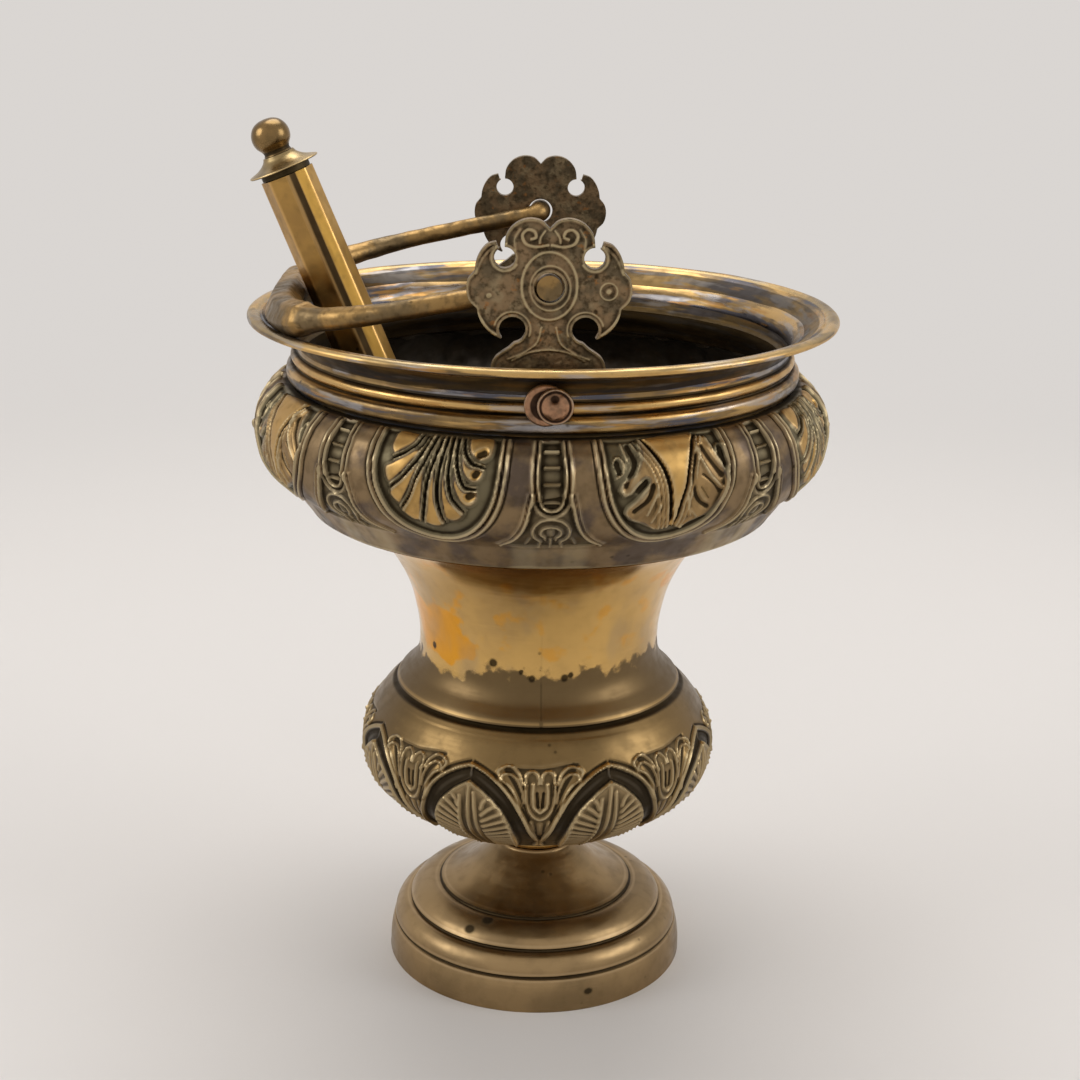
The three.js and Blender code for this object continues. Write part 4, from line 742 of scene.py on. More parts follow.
def make_finishes(colours):
    """All finishes, by the names that the pieces use."""
    gold, olive, deep = tuple(colours.gold), tuple(colours.olive), tuple(colours.deep)
    turned = (0.35, 0.35, 3.2)

    def toned(ground, flats):
        """Dark ground where the tone is below nought and rubbed bright flats where it is above."""
        def hue(f, colour):
            tone = f.attribute("tone")
            return f.laid(f.laid(colour, ground, tone, 0, -1), flats, tone, 0, 1)
        return hue

    def tarnish(f, colour):
        """Streaks round the neck: blue-grey and gold as the tone has it, with silver and ember ones over them."""
        streaks = f.noise(14, 4, scale=(0.3, 0.3, 3.4), shift=(0.2, 0, 0.1))
        level = f.math("ADD", f.attribute("tone"), f.between(streaks, 0.38, 0.62, -1.25, 1.25))
        colour = f.laid(colour, (0.1, 0.098, 0.115), level, -0.3, -1.3)
        colour = f.laid(colour, (0.6, 0.38, 0.14), level, 0.25, 1.3)
        silver = f.noise(9, 5, scale=(0.35, 0.35, 3.0), shift=(0.7, 0.4, 0.3))
        colour = f.laid(colour, (0.4, 0.38, 0.37), silver, 0.53, 0.62, 0.65)
        ember = f.noise(8, 4, scale=(0.35, 0.35, 3.6), shift=(0.1, 0.9, 0.6))
        return f.laid(colour, (0.48, 0.25, 0.07), ember, 0.57, 0.66, 0.7)

    def ragged(f):
        """One below the ragged line on the waist and nought above it."""
        rough = f.between(f.noise(8, 6, shift=(0.3, 0.1, 0.5)), 0.3, 0.7, -0.7, 0.7)
        return f.between(f.math("ADD", f.attribute("tone"), rough), 0.28, -0.3)

    def polished(f, colour):
        """Amber blotches and a faint haze on the polish, and brown below the ragged line."""
        blotches = f.between(f.noise(9, 5, shift=(0.37, 0.2, 0.05)), 0.3, 0.7, -0.5, 0.5)
        colour = f.laid(colour, (0.74, 0.33, 0.022), f.math("ADD", f.attribute("tone"), blotches), 1.2, 1.75, 0.9)
        haze = f.noise(20, 3, scale=(1, 1, 0.5), shift=(0.1, 0.6, 0.2))
        colour = f.laid(colour, (0.33, 0.25, 0.15), haze, 0.54, 0.7, 0.4)
        return f.blend(ragged(f), colour, (0.16, 0.107, 0.05))

    def facets(f, colour):
        """Painted shade on the tube's dark strip and a painted highlight on the bright strip beside it, as the
        attribute read here has them.
        """
        facet_light = f.attribute("facet_light")
        shaded_facet_colour = f.laid((0.05, 0.031, 0.014), (0.12, 0.08, 0.034), f.noise(18, 3, scale=(1, 1, 0.35)), 0.4, 0.62)
        return f.laid(f.laid(colour, shaded_facet_colour, facet_light, 0, -1), (0.56, 0.33, 0.075), facet_light, 0, 1)

    def crusted(f, colour):
        """Pale crust and spots of rust."""
        colour = f.laid(colour, (0.32, 0.245, 0.14), f.noise(5, 5, shift=(0.9, 0.1, 0.4)), 0.5, 0.64, 0.65)
        return f.laid(colour, (0.36, 0.16, 0.05), f.noise(3, 3, shift=(0.2, 0.8, 0.6)), 0.64, 0.72, 0.7)

    brass_finish("bulge brass", (0.24, 0.165, 0.088), (0.12, 0.088, 0.064), deep, patch=13, rough=(0.36, 0.54),
                 pit=0.08, wear_and_highlight=(0.52, 0.42, 0.25), hue=toned((0.17, 0.142, 0.084), dimmed(gold, 1.25)))
    brass_finish("bowl brass", (0.215, 0.14, 0.058), (0.165, 0.108, 0.046), deep, patch=40, rough=(0.3, 0.42),
                 mottle=0.15, speck=0.6, brushed=turned, wear_and_highlight=(0.5, 0.39, 0.22),
                 hue=toned((0.105, 0.086, 0.062), (0.37, 0.275, 0.15)))
    brass_finish("foot brass", (0.36, 0.245, 0.12), (0.27, 0.185, 0.092), deep, rough=(0.28, 0.4), mottle=0.15,
                 speck=0.55, brushed=turned, shift=(0.1, 0.2, 0))
    brass_finish("waist brass", (0.62, 0.39, 0.13), (0.5, 0.32, 0.12), deep, patch=42, rough=(0.15, 0.26),
                 brushed=turned, mottle=0.06, pit=0.02, hue=polished, dull=ragged, shift=(0.5, 0, 0.3))
    brass_finish("neck brass", (0.29, 0.19, 0.08), (0.18, 0.12, 0.058), deep, patch=18, rough=(0.26, 0.42),
                 brushed=turned, mottle=0.15, wear_and_highlight=(0.5, 0.37, 0.18), hue=tarnish)
    brass_finish("inside brass", (0.2, 0.18, 0.155), (0.12, 0.11, 0.095), dimmed(deep, 0.4), rough=(0.34, 0.5),
                 pit=0.1)
    brass_finish("ear brass", (0.26, 0.175, 0.095), (0.14, 0.105, 0.062), dimmed(deep, 0.7), patch=6, grain=1.8,
                 mottle=0.75, rough=(0.36, 0.54), pit=0.3, shift=(0.4, 0.7, 0), wear_and_highlight=(0.52, 0.42, 0.24), hue=crusted)
    brass_finish("bail brass", (0.33, 0.205, 0.078), (0.18, 0.125, 0.062), deep, patch=14, blotch=0.35, grain=3,
                 mottle=0.5, rough=(0.34, 0.54), pit=0.24)
    brass_finish("bright brass", (0.46, 0.27, 0.08), (0.36, 0.21, 0.068), deep, patch=22, rough=(0.28, 0.42),
                 pit=0.04, mottle=0.25, hue=facets)
    brass_finish("cap brass", (0.46, 0.33, 0.15), (0.34, 0.25, 0.12), deep, patch=9, rough=(0.26, 0.4))
    brass_finish("finial brass", (0.27, 0.17, 0.07), (0.2, 0.13, 0.055), deep, patch=9, rough=(0.2, 0.3), pit=0.03)
    brass_finish("dark brass", dimmed(olive, 0.6), dimmed(deep, 0.8), dimmed(deep, 0.4), rough=(0.45, 0.6))
    brass_finish("hammered copper", tuple(colours.copper), (0.27, 0.16, 0.095), (0.08, 0.045, 0.03), patch=4,
                 grain=1.6, rough=(0.3, 0.5), pit=0.14, wear_and_highlight=(0.5, 0.42, 0.3))
    brass_finish("stud steel", (0.2, 0.19, 0.18), (0.13, 0.12, 0.11), (0.05, 0.04, 0.035), rough=(0.4, 0.6))
    lead = Finish("seal lead")
    grain = lead.noise(2, 4)
    lead.finish(lead.blend(grain, (0.1, 0.1, 0.11), (0.2, 0.2, 0.21)), lead.between(grain, 0.3, 0.7, 0.55, 0.8),
                grain, 0.1, 0.7)
    sponge = Finish("sea sponge")
    # The pores are painted dark: painted shade in the sponge's holes
    pores = sponge.cells(1.6)
    shade = sponge.blend(sponge.noise(9, 3), tuple(colours.sponge), dimmed(colours.sponge, 0.6))
    sponge.finish(sponge.blend(sponge.between(pores, 0.1, 0.35, 1, 0), shade, dimmed(colours.sponge, 0.25)),
                  0.95, pores, 0.6, 0.0)


def paint(node, finish):
    """Gives a CAD node its finish in place."""
    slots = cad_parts[node].data.materials
    slots.clear()
    slots.append(bpy.data.materials[finish])


# Pieces of the bucket

def sized(context):
    return context.scene.bucket_sizes


def in_mm(length):
    return length * 1000


def outer_rows(loop, outside):
    """True, as a column, for the points of a loop that are its outside."""
    return np.arange(len(loop))[:, None] < len(outside)


class BUCKET_OT_foot(Operator):
    """Turned foot with its stepped mouldings, and the small pieces that bolt it on"""

    bl_idname = "bucket.foot"
    bl_label = "Foot"

    def execute(self, context):
        def relief(theta, loop):
            uneven = (loop[:, 1:] > 0.5) & (loop[:, :1] > 15)
            return turning_waves(theta, run_along(loop), 0.16, 5) * uneven

        def patina_and_painted_light(theta, loop):
            """Dark in the grooves, painted highlights on the edges of the steps, and three dark spots."""
            groove = near(loop, ((56.8, 13.6), (50.3, 21.9), (38.6, 29.3)), 0.7)
            edge = near(loop, ((57.7, 12.5), (57.2, 15), (52, 21.3), (50.3, 23.4), (40.6, 28.8), (37, 30.3)), 0.7)
            spots = sum(bell(from_front(theta - math.radians(at)) * wide, 0, 1) * near(loop, [place], size)[:, None]
                        for at, wide, place, size in ((-26.5, 22, (42.7, 28.2), 2.2), (-32.9, 26, (48, 25.6), 1.6),
                                                      (19.9, 40, (58.7, 7.2), 1.1)))
            return (0.8 * groove - 0.45 * edge)[:, None] + spots

        turned_piece("turned_foot", outline(FOOT_OUTSIDE, 0.55), outline(FOOT_INSIDE, 2), 360,
                     ("bucket", "aged_brass", "foot brass"), ("foot_shell",), relief, patina_and_painted_light)
        for node, finish in (("stem_collar", "bright brass"), ("foot_stud", "stud steel"), ("stud_seal", "seal lead"),
                             ("foot_washer", "dark brass"), ("foot_nut", "dark brass")):
            paint(node, finish)
        return {"FINISHED"}


class BUCKET_OT_bowl(Operator):
    """Lower bowl, embossed with eight arches and eight palmettes, and its plain lining"""

    bl_idname = "bucket.bowl"
    bl_label = "Lower bowl"

    def execute(self, context):
        sizes = sized(context)
        step = in_mm(sizes.chase_step)
        work = bowl_chasing()
        outside = outline(BOWL_OUTSIDE, step)
        run = run_along(outside)
        down = np.interp(BOWL_SHOULDER, outside[:, 1], run) - run
        front, back = LINING
        embossed_shell(
            "bowl", "lower_bowl", "bowl brass", work, work.softened(1.6), outside, down, lambda turn: turn * BOWL_ROUND,
            np.linspace(0, 1, int(math.pi * 69 / step) + 1) * math.pi, 12, sizes.relief,
            lambda turn: turning_waves(turn, down, 0.14, 11) * ((down > -3) & (down < 70))[:, None],
            1.5, 0.4 * rounded_step((-down - 4) / 2), np.concatenate([[(3.4, 51.5)], inward(outside, front)])[::4],
            np.concatenate([inward(outside, back)[::-1][:-8:5], [(16, 54.2), (3.4, 54.2)]]), 288,
            lambda loop: 0.7 * (loop[:, 1] > 58))
        return {"FINISHED"}


class BUCKET_OT_waist(Operator):
    """Polished waist, with the soldered seam down its front"""

    bl_idname = "bucket.waist"
    bl_label = "Waist"

    def execute(self, context):
        outside = outline(WAIST_OUTSIDE, 0.9)
        inside = inward(outside, 1.6)[::-1]
        inside = inside[np.linspace(0, len(inside) - 1, 40).astype(int)]

        def seam(theta, width):
            return bell(from_front(theta), 0.005, width / WAIST_ROUND)

        def relief(theta, loop):
            lift = turning_waves(theta, run_along(loop), 0.32, 21)
            ends = rounded_step((loop[:, 1:] - 118) / 4) * rounded_step((189 - loop[:, 1:]) / 4)
            return (0.7 * lift - 0.14 * seam(theta, 0.45) * outer_rows(loop, outside)) * ends

        def patina_and_painted_light(theta, loop):
            """Dark down the seam, at the foot with a painted highlight along the edge just above, in six spots, and all
            over the inner side.
            """
            level = loop[:, 1:]
            line = seam(theta, 0.4) * np.interp(level, (131, 133, 151, 153), (1, 0.5, 0.5, 0))
            foot = rounded_step((118.4 - level) / 0.6) - 1.3 * bell(level, 118.9, 0.5)
            spots = sum(bell(from_front(theta), math.radians(at), size / WAIST_ROUND) * bell(level, height, size)
                        for at, height, size in ((-59.2, 138.3, 1.2), (-22.2, 138.6, 1.4), (-9, 136, 0.8),
                                                 (14, 134.6, 0.9), (11, 133.6, 1.2), (-4, 133.5, 1.1)))
            return np.where(outer_rows(loop, outside), 0.3 * line + 0.35 * foot + spots, 0.3)

        def tone(theta, loop):
            """Rises from below nought to one across a line whose height is a sum of sine waves, and goes on to two
            in the amber patches on the left, which are bell curves in angle and height."""
            chance = np.random.default_rng(27)
            level, away = loop[:, 1:], np.degrees(from_front(theta))
            line = 133.5 + 2.4 * np.sin(theta + 0.8) + sum(
                chance.uniform(0.4, 0.9) * np.sin(turns * theta + chance.uniform(0, 6.3)) for turns in (3, 5, 8, 13))
            amber = sum(strength * bell(away, at, wide) * bell(level, height, tall)
                        for at, wide, height, tall, strength in ((-50, 14, 137, 8, 1.35), (-58, 22, 150, 12, 0.95),
                                                                 (-5, 8, 136, 4, 0.5), (140, 30, 146, 12, 0.8),
                                                                 (60, 18, 170, 8, 0.5)))
            return np.where(outer_rows(loop, outside), ((level - line) / 5).clip(-1, 1) + amber, -1)

        turned_piece("turned_waist", outside, inside, 640, ("bucket", "aged_brass", "waist brass"), ("waist",),
                     relief, patina_and_painted_light, tone)
        return {"FINISHED"}


class BUCKET_OT_bulge(Operator):
    """Upper bulge, embossed with ladders, shells and leaves, and its lining"""

    bl_idname = "bucket.bulge"
    bl_label = "Upper bulge"

    def execute(self, context):
        sizes = sized(context)
        step = in_mm(sizes.chase_step)
        work = bulge_chasing()
        outside = np.concatenate([outline(BULGE_BAND, 1.0)[:-1], outline(BULGE_SWELL, step)])
        run = run_along(outside)
        down = run[-1] - run
        fade = rounded_step(down / 5) * rounded_step((66 - down) / 6)
        front, back = LINING
        embossed_shell(
            "bulge", "upper_bulge", "bulge brass", work, work.softened(1.5), outside, down, round_bulge,
            np.linspace(0, 1, int(math.pi * BULGE_ROUND / (step * 1.08)) + 1) * math.pi + math.radians(9), 10,
            sizes.relief, lambda turn: turning_waves(turn, down, 0.22, 31) * fade[:, None],
            1.05, 0.5 * rounded_step((3.4 - down) / 2.4) - 0.6 * bell(outside[:, 1], 190.4, 0.5),
            inward(outside, front)[::4], inward(outside, back)[::-1][::4], 480, lambda loop: np.full(len(loop), 1.1))
        return {"FINISHED"}


def round_bulge(theta):
    """Where each angle lies on the chased pattern: the panels in front are as the maker spaced them, a little
    unevenly, and the others share the rest of the way round."""
    known = np.radians([-42.7, -20.5, 0.8, 22.8, 45.0, 317.3])
    places = np.array([-2, -1, 0, 1, 2, 14]) * (math.pi * BULGE_ROUND / 8)
    return np.interp((theta - known[0]) % (2 * np.pi) + known[0], known, places)


class BUCKET_OT_neck(Operator):
    """Moulded neck with its two beads, flared mouth and rolled lip"""

    bl_idname = "bucket.neck"
    bl_label = "Neck and rim"

    def execute(self, context):
        outside, inside = outline(NECK_OUTSIDE, 0.5), outline(NECK_INSIDE, 0.8)

        def relief(theta, loop):
            run = run_along(loop)
            lift = turning_waves(theta, run, 0.3, 41) + turning_waves(theta, run * 3, 0.1, 43)
            return lift * rounded_step((loop[:, 1:] - 239.6) / 3)

        def patina_and_painted_light(theta, loop):
            """Dark between the beads, painted shade under the lip, painted highlights on the beads and the lip, and
            dark inside the mouth: patina and painted shade, deeper further down.
            """
            level = loop[:, 1:]
            dark = sum(bell(level, at, wide) for at, wide in ((239.6, 0.7), (246.1, 0.45), (250.5, 0.5)))
            dark = dark + 0.5 * bell(level, 262.1, 0.35) * (loop[:, :1] > 106)
            wear_and_highlight = bell(level, 264.3, 0.6) + 0.5 * bell(level, 248.5, 0.6) + 0.4 * bell(level, 244.2, 0.5)
            deep = (0.36 + 0.5 * rounded_step((250 - level) / 5)) * (level < 263.2)
            return np.where(outer_rows(loop, outside), 0.7 * dark - 0.5 * wear_and_highlight, deep)

        def tone(theta, loop):
            """Blue-grey on the lower bead and low in the cove, gold on the upper bead and the lip."""
            level = np.interp(loop[:, 1:], (239.6, 242.6, 244.4, 246, 248, 249.6, 251.5, 254, 256.5, 260, 262.5, 264.8),
                              (-0.6, -0.4, 1.2, -0.1, 1.2, 0.8, -0.7, -0.5, 0.1, -0.1, 0.3, 0.9))
            return level * outer_rows(loop, outside)

        turned_piece("moulded_neck", outside, inside, 480, ("bucket", "aged_brass", "neck brass"), ("neck_rim",),
                     relief, patina_and_painted_light, tone)
        return {"FINISHED"}


def ear_plate():
    """The pierced ear seen from outside, as a grid of points whose border is drawn onto the outline along the
    gradient of the signed distance. Hands back points (across, up, height), the kept quads, the border edges and
    how dark each point is."""
    right = np.concatenate([smooth_line(np.array(lobe) * EAR_HALF, 0.4) for lobe in EAR_LOBES])
    middle, top = 30.0, 24.0
    work = Chasing(60, 72, 0.3)

    def on_sheet(points):
        return (middle, top) + np.asarray(points, float) * (1, -1)

    border = on_sheet(np.concatenate([right, (right * (-1, 1))[::-1]]))
    bands = [(slice(k, k + 12), slice(None)) for k in range(0, len(work.v), 12)]
    far = np.concatenate([work.far(np.vstack([border, border[:1]]), *band) for band in bands])
    outside = np.where(np.concatenate([work.within(border, *band) for band in bands]), -far, far)
    u, v = np.meshgrid(work.u, work.v)
    for across, up, radius in ((0, 0, 5), (-14.7, 9.7, 3.5), (14.7, 9.7, 3.5), (-12.05, -14.1, 4.4),
                               (12.05, -14.1, 4.4)):
        outside = np.maximum(outside, radius - np.hypot(u - middle - across, v - top + up))
    work.height -= 0.2 * rounded_step((-outside - 0.6) / 0.5)
    work.height += 0.2 * (1 - ((-outside - 0.35) / 0.5) ** 2).clip(0)
    for lines, half_width, height in (
            ([oval(0, 0.5, 9.1, 11.2)], 0.6, 0.5), ([oval(0.3, -0.2, 6.6, 7.4)], 0.5, 0.4),
            (both(oval(14.7, 9.7, 4.5, 4.5, -150, 95)), 0.5, 0.45),
            (both(oval(12.05, -14.1, 6.0, 6.0, 15, 200)), 0.5, 0.45),
            (both([(0.6, 13.9), (5.2, 13.4), (8.2, 14.6), (9, 17.2), (7.2, 18.9), (5, 18.2), (4.6, 16.4),
                   (6, 15.8)]), 0.6, 0.6),
            (both([(1.6, 18.6), (3.2, 16), (3.4, 14.6)]), 0.5, 0.45),
            (both([(9.8, 19), (11.6, 15.6), (11.2, 12.4)]), 0.55, 0.35),
            (both([(24, 4.4), (21.8, 9.6), (18.4, 13.2)]), 0.5, 0.35),
            (both([(23.6, -8.6), (20.6, -13), (17.4, -15.6)]), 0.5, 0.35),
            (both([(2.4, -13.2), (4, -18.6), (8.4, -21.8), (13.4, -24)]), 0.5, 0.4),
            ([[(-12, -24.4), (-6, -21.6), (0, -20.8), (6, -21.6), (12, -24.4)]], 0.55, 0.4),
            ([[(19.4, -1.2), (19.6, -1.0)]], 1.1, 0.55), ([oval(19.5, -1.1, 2.8, 2.8)], 0.45, 0.4),
            ([[(-19.9, -2.8), (-19.7, -2.7)]], 1.1, 0.6)):
        work.ridges([smooth_line(on_sheet(line), 0.5) for line in lines], half_width, height)
    patina_and_painted_light = (work.softened(1.1) - work.height) * 2.0
    pitted = blurred(np.random.default_rng(61).normal(size=work.height.shape), work.step, 0.45)
    work.height += 0.06 * pitted / pitted.std() * rounded_step((-outside - 1.6) / 1)

    inner = outside < 0.12
    cell = inner[:-1, :-1] & inner[1:, :-1] & inner[:-1, 1:] & inner[1:, 1:]
    down_slope, side_slope = np.gradient(outside, work.step)
    steep = np.hypot(down_slope, side_slope).clip(0.3)
    touching = np.zeros_like(inner, dtype=int)
    sides = (slice(None, -1), slice(1, None))
    for rows in sides:
        for cols in sides:
            touching[rows, cols] += cell
    used = touching > 0
    pull = np.where(used & (touching < 4), outside / steep ** 2, 0).clip(-0.4, 0.4)
    across, down = u - pull * side_slope, v - pull * down_slope
    number = np.full(used.shape, -1)
    number[used] = np.arange(used.sum())
    rows, cols = np.nonzero(cell)
    quads = np.stack([number[rows + 1, cols], number[rows + 1, cols + 1], number[rows, cols + 1],
                      number[rows, cols]], 1)
    edges = np.concatenate([quads[:, [a, (a + 1) % 4]] for a in range(4)])
    there, back = edges @ (used.size, 1), edges @ (1, used.size)
    rim = edges[~np.isin(back, there)]
    return np.stack([across[used] - middle, top - down[used], work.height[used]], 1), quads, rim, patina_and_painted_light[used]


class BUCKET_OT_ears(Operator):
    """Two pierced and engraved ears, each held by a copper rivet through a ring"""

    bl_idname = "bucket.ears"
    bl_label = "Ears and rivets"

    def execute(self, context):
        pivot = in_mm(sized(context).pivot_height)
        plate, quads, border, patina_and_painted_light = ear_plate()
        neck = outline(NECK_INSIDE, 0.5)[::-1]
        up = pivot + plate[:, 1]
        reach = np.where(up < 262, np.interp(up, neck[:, 1], neck[:, 0]) - 0.3, 200)
        limit = np.sqrt((reach ** 2 - plate[:, 0] ** 2).clip(0))
        count = len(plate)
        points = np.concatenate([np.stack([plate[:, 0], -depth, up], 1) for depth in (
            np.minimum(90.6 + 0.55 * plate[:, 2] + 0.1, limit), np.minimum(87.1, limit - 3.0))])
        walls = np.stack([border[:, 1], border[:, 0], border[:, 0] + count, border[:, 1] + count], 1)
        faces = [np.concatenate([quads, quads[:, ::-1] + count, walls])]
        values = {"patina_and_painted_light": np.concatenate([patina_and_painted_light, np.full(count, 0.15)])}
        rivet = outline([[(0, 85.4), (2.8, 85.4), (4, 86.1), (4, 86.8)], [(4, 86.8), (2, 86.8)],
                         [(2, 86.8), (2, 97.6)], [(2, 97.6), (6.0, 97.6)],
                         [(6.0, 97.6), (6.2, 98.6), (5.8, 99.2), (5.1, 98.9)],
                         [(5.1, 98.9), (4.6, 99.3), (3.4, 100.1), (1.8, 100.5), (0, 100.6)]], 0.3)
        ring = outline([[(2.6, 97.2), (2.6, 96)], [(2.6, 96), (6.4, 95.9)],
                        [(6.4, 95.9), (7.2, 96.2), (7.1, 97), (6.4, 97.4), (5.4, 97.3)],
                        [(5.4, 97.3), (2.6, 97.2)]], 0.4)
        blows = np.random.default_rng(71).uniform(-5, 5, (9, 2))

        def dented(points, wide, tall):
            """The dent above the middle of the head."""
            return np.exp(-((points[:, 0] + 0.2) ** 2 / wide + (points[:, 1] - 2.7) ** 2 / tall))

        def hammered(points):
            """Each hammer blow flattens the head by a bell-shaped dent."""
            gap = ((points[:, None, :2] - blows[None]) ** 2).sum(-1)
            dent = (0.5 * np.exp(-gap / 2.4)).max(1) + 1.5 * dented(points, 2.2, 1.6)
            points[:, 2] -= dent * rounded_step((points[:, 2] - 98) / 1.5)
            return points

        def dirt_and_shade(points):
            """Dark in the groove round the head and in the dent above its middle, and painted shade on the head's lower
            side and the shank, where they meet the ring.
            """
            away = np.hypot(points[:, 0], points[:, 1])
            rim = 0.5 * bell(away, 5.8, 0.35) * (points[:, 2] > 98.6)
            return (0.9 * bell(away, 5.0, 0.4) + 1.2 * dented(points, 1.6, 1.1) + (points[:, 2] < 98.2) * 0.8
                    - rim)

        def ring_wear_and_shade(theta, loop):
            """A rubbed bright edge round the ring, painted shade on its middle under the rivet's head, and painted
            shade on its inner face.
            """
            return (0.8 * rounded_step((5.6 - loop[:, 0]) / 1.2) - 0.5 * near(loop, [(7.1, 96.8)], 0.4)
                    + 0.9 * (loop[:, 1] < 96.05))[:, None]

        outward = np.array([[1, 0, 0], [0, 0, -1], [0, 1, 0]], float)
        copper = ("bucket", "copper", "hammered copper")
        for name, turn in (("front", 0), ("rear", math.pi)):
            spin = np.array(Matrix.Rotation(turn, 3, "Z"))

            def riveted(across):
                return spin @ outward, spin @ np.array([across, 0, pivot - RIVET_DROP])

            make_piece(f"engraved_ear_{name}", points @ spin.T, faces, ("bucket", "aged_brass", "ear brass"),
                       (f"ear_{name}",), values)
            turned_solid(f"hammered_rivet_{name}", rivet, 72, copper, (f"rivet_{name}",), riveted(2.4), hammered,
                         dirt_and_shade)
            turned_piece(f"rivet_ring_{name}", ring[::-1], ring[:3], 72, copper, (f"rove_{name}",),
                         patina_and_painted_light=ring_wear_and_shade, place=riveted(-0.8))
        return {"FINISHED"}


class BUCKET_OT_bail(Operator):
    """Bail handle: round arms, a six-sided swollen grip with two small rings, and a pin at each end"""

    bl_idname = "bucket.bail"
    bl_label = "Bail"

    def execute(self, context):
        pivot = in_mm(sized(context).pivot_height)
        reach, half, squareness, columns = 96.6, 83.1, 3.3, 40
        fold = math.radians(11.67)
        turn = np.linspace(0, np.pi / 2, 17)[1:]
        bow = np.stack([reach * np.sin(turn) ** (2 / squareness), np.zeros(16)], 1)
        bow[:, 1] = half * (1 - (bow[:, 0] / reach) ** squareness).clip(0) ** (1 / squareness)
        bend = [(5 * (1 - math.cos(a)), half + 5 - 5 * math.sin(a)) for a in np.radians([22.5, 45, 67.5, 90])]
        one = np.array([(0, 92.0), (0, half + 5), *bend, *bow[bow[:, 0] > 10]])
        flat = smooth_line(np.concatenate([one * (1, -1), one[:-1][::-1]]), 0.9)
        out, side = flat[:, 0], flat[:, 1]
        path = np.stack([-out * math.cos(fold), side, pivot - out * math.sin(fold)], 1)
        tangent = np.gradient(path, axis=0)
        tangent /= np.linalg.norm(tangent, axis=1, keepdims=True)
        above = np.array([-math.sin(fold), 0, math.cos(fold)])
        across = np.cross(tangent, above)

        beyond = out > reach / 2
        arm = 3.3 + 1.1 * rounded_step((out - reach / 2) / (reach / 2))
        pin = 1 - rounded_step(out / 5)
        grip = (1 - rounded_step((np.abs(side) - np.where(side < 0, 62.0, 34.0) + 6.2) / 12.4)) * beyond
        thick = (arm * (1 - pin) + 4.2 * pin) * (1 - grip) + 6.2 * grip
        thick = thick + sum(0.45 * bell(side, place, wide) * beyond
                            for place, wide in ((36.5, 0.8), (40.5, 0.8), (-60, 0.7)))
        rough = blurred(np.random.default_rng(81).normal(size=(len(path), columns)), (0.9 / 1.6, 0.6), 1)
        rough *= 0.06 / rough.std()

        # In the grip the sum of high powers of the facets' cosines makes six sides
        angle, grip, sides = around(columns), grip[:, None], 6
        facet = sum(np.cos(angle - math.radians(90 + 60 * k)).clip(0) ** 16 for k in range(sides)) ** (-1 / 16)
        bulged = 1 + 0.16 * grip * bell(from_front(angle - np.pi - 0.5), 0, 0.8)
        radius = (thick[:, None] * (0.93 * facet * grip + (1 - grip)) * bulged
                  + rough * rounded_step((out[:, None] - 4) / 3))
        ring = radius[..., None] * (np.cos(angle)[:, None] * across[:, None, :] + np.sin(angle)[:, None] * above)
        # Painted shade darkens the grip's lower side; the pits of the rough surface are dark too
        patina_and_painted_light = 0.3 * grip * (np.sin(angle) < -0.1) + 0.2 * (rough < -0.1)
        make_piece("forged_bail", np.concatenate([(path[:, None, :] + ring).reshape(-1, 3), path[:1], path[-1:]]),
                   [group[:, ::-1] for group in capped_faces(len(path), columns)],
                   ("bail", "dark_brass", "bail brass"), ("bail",), {"patina_and_painted_light": np.r_[patina_and_painted_light.ravel(), 0, 0]})
        return {"FINISHED"}


# Pieces of the aspergillum

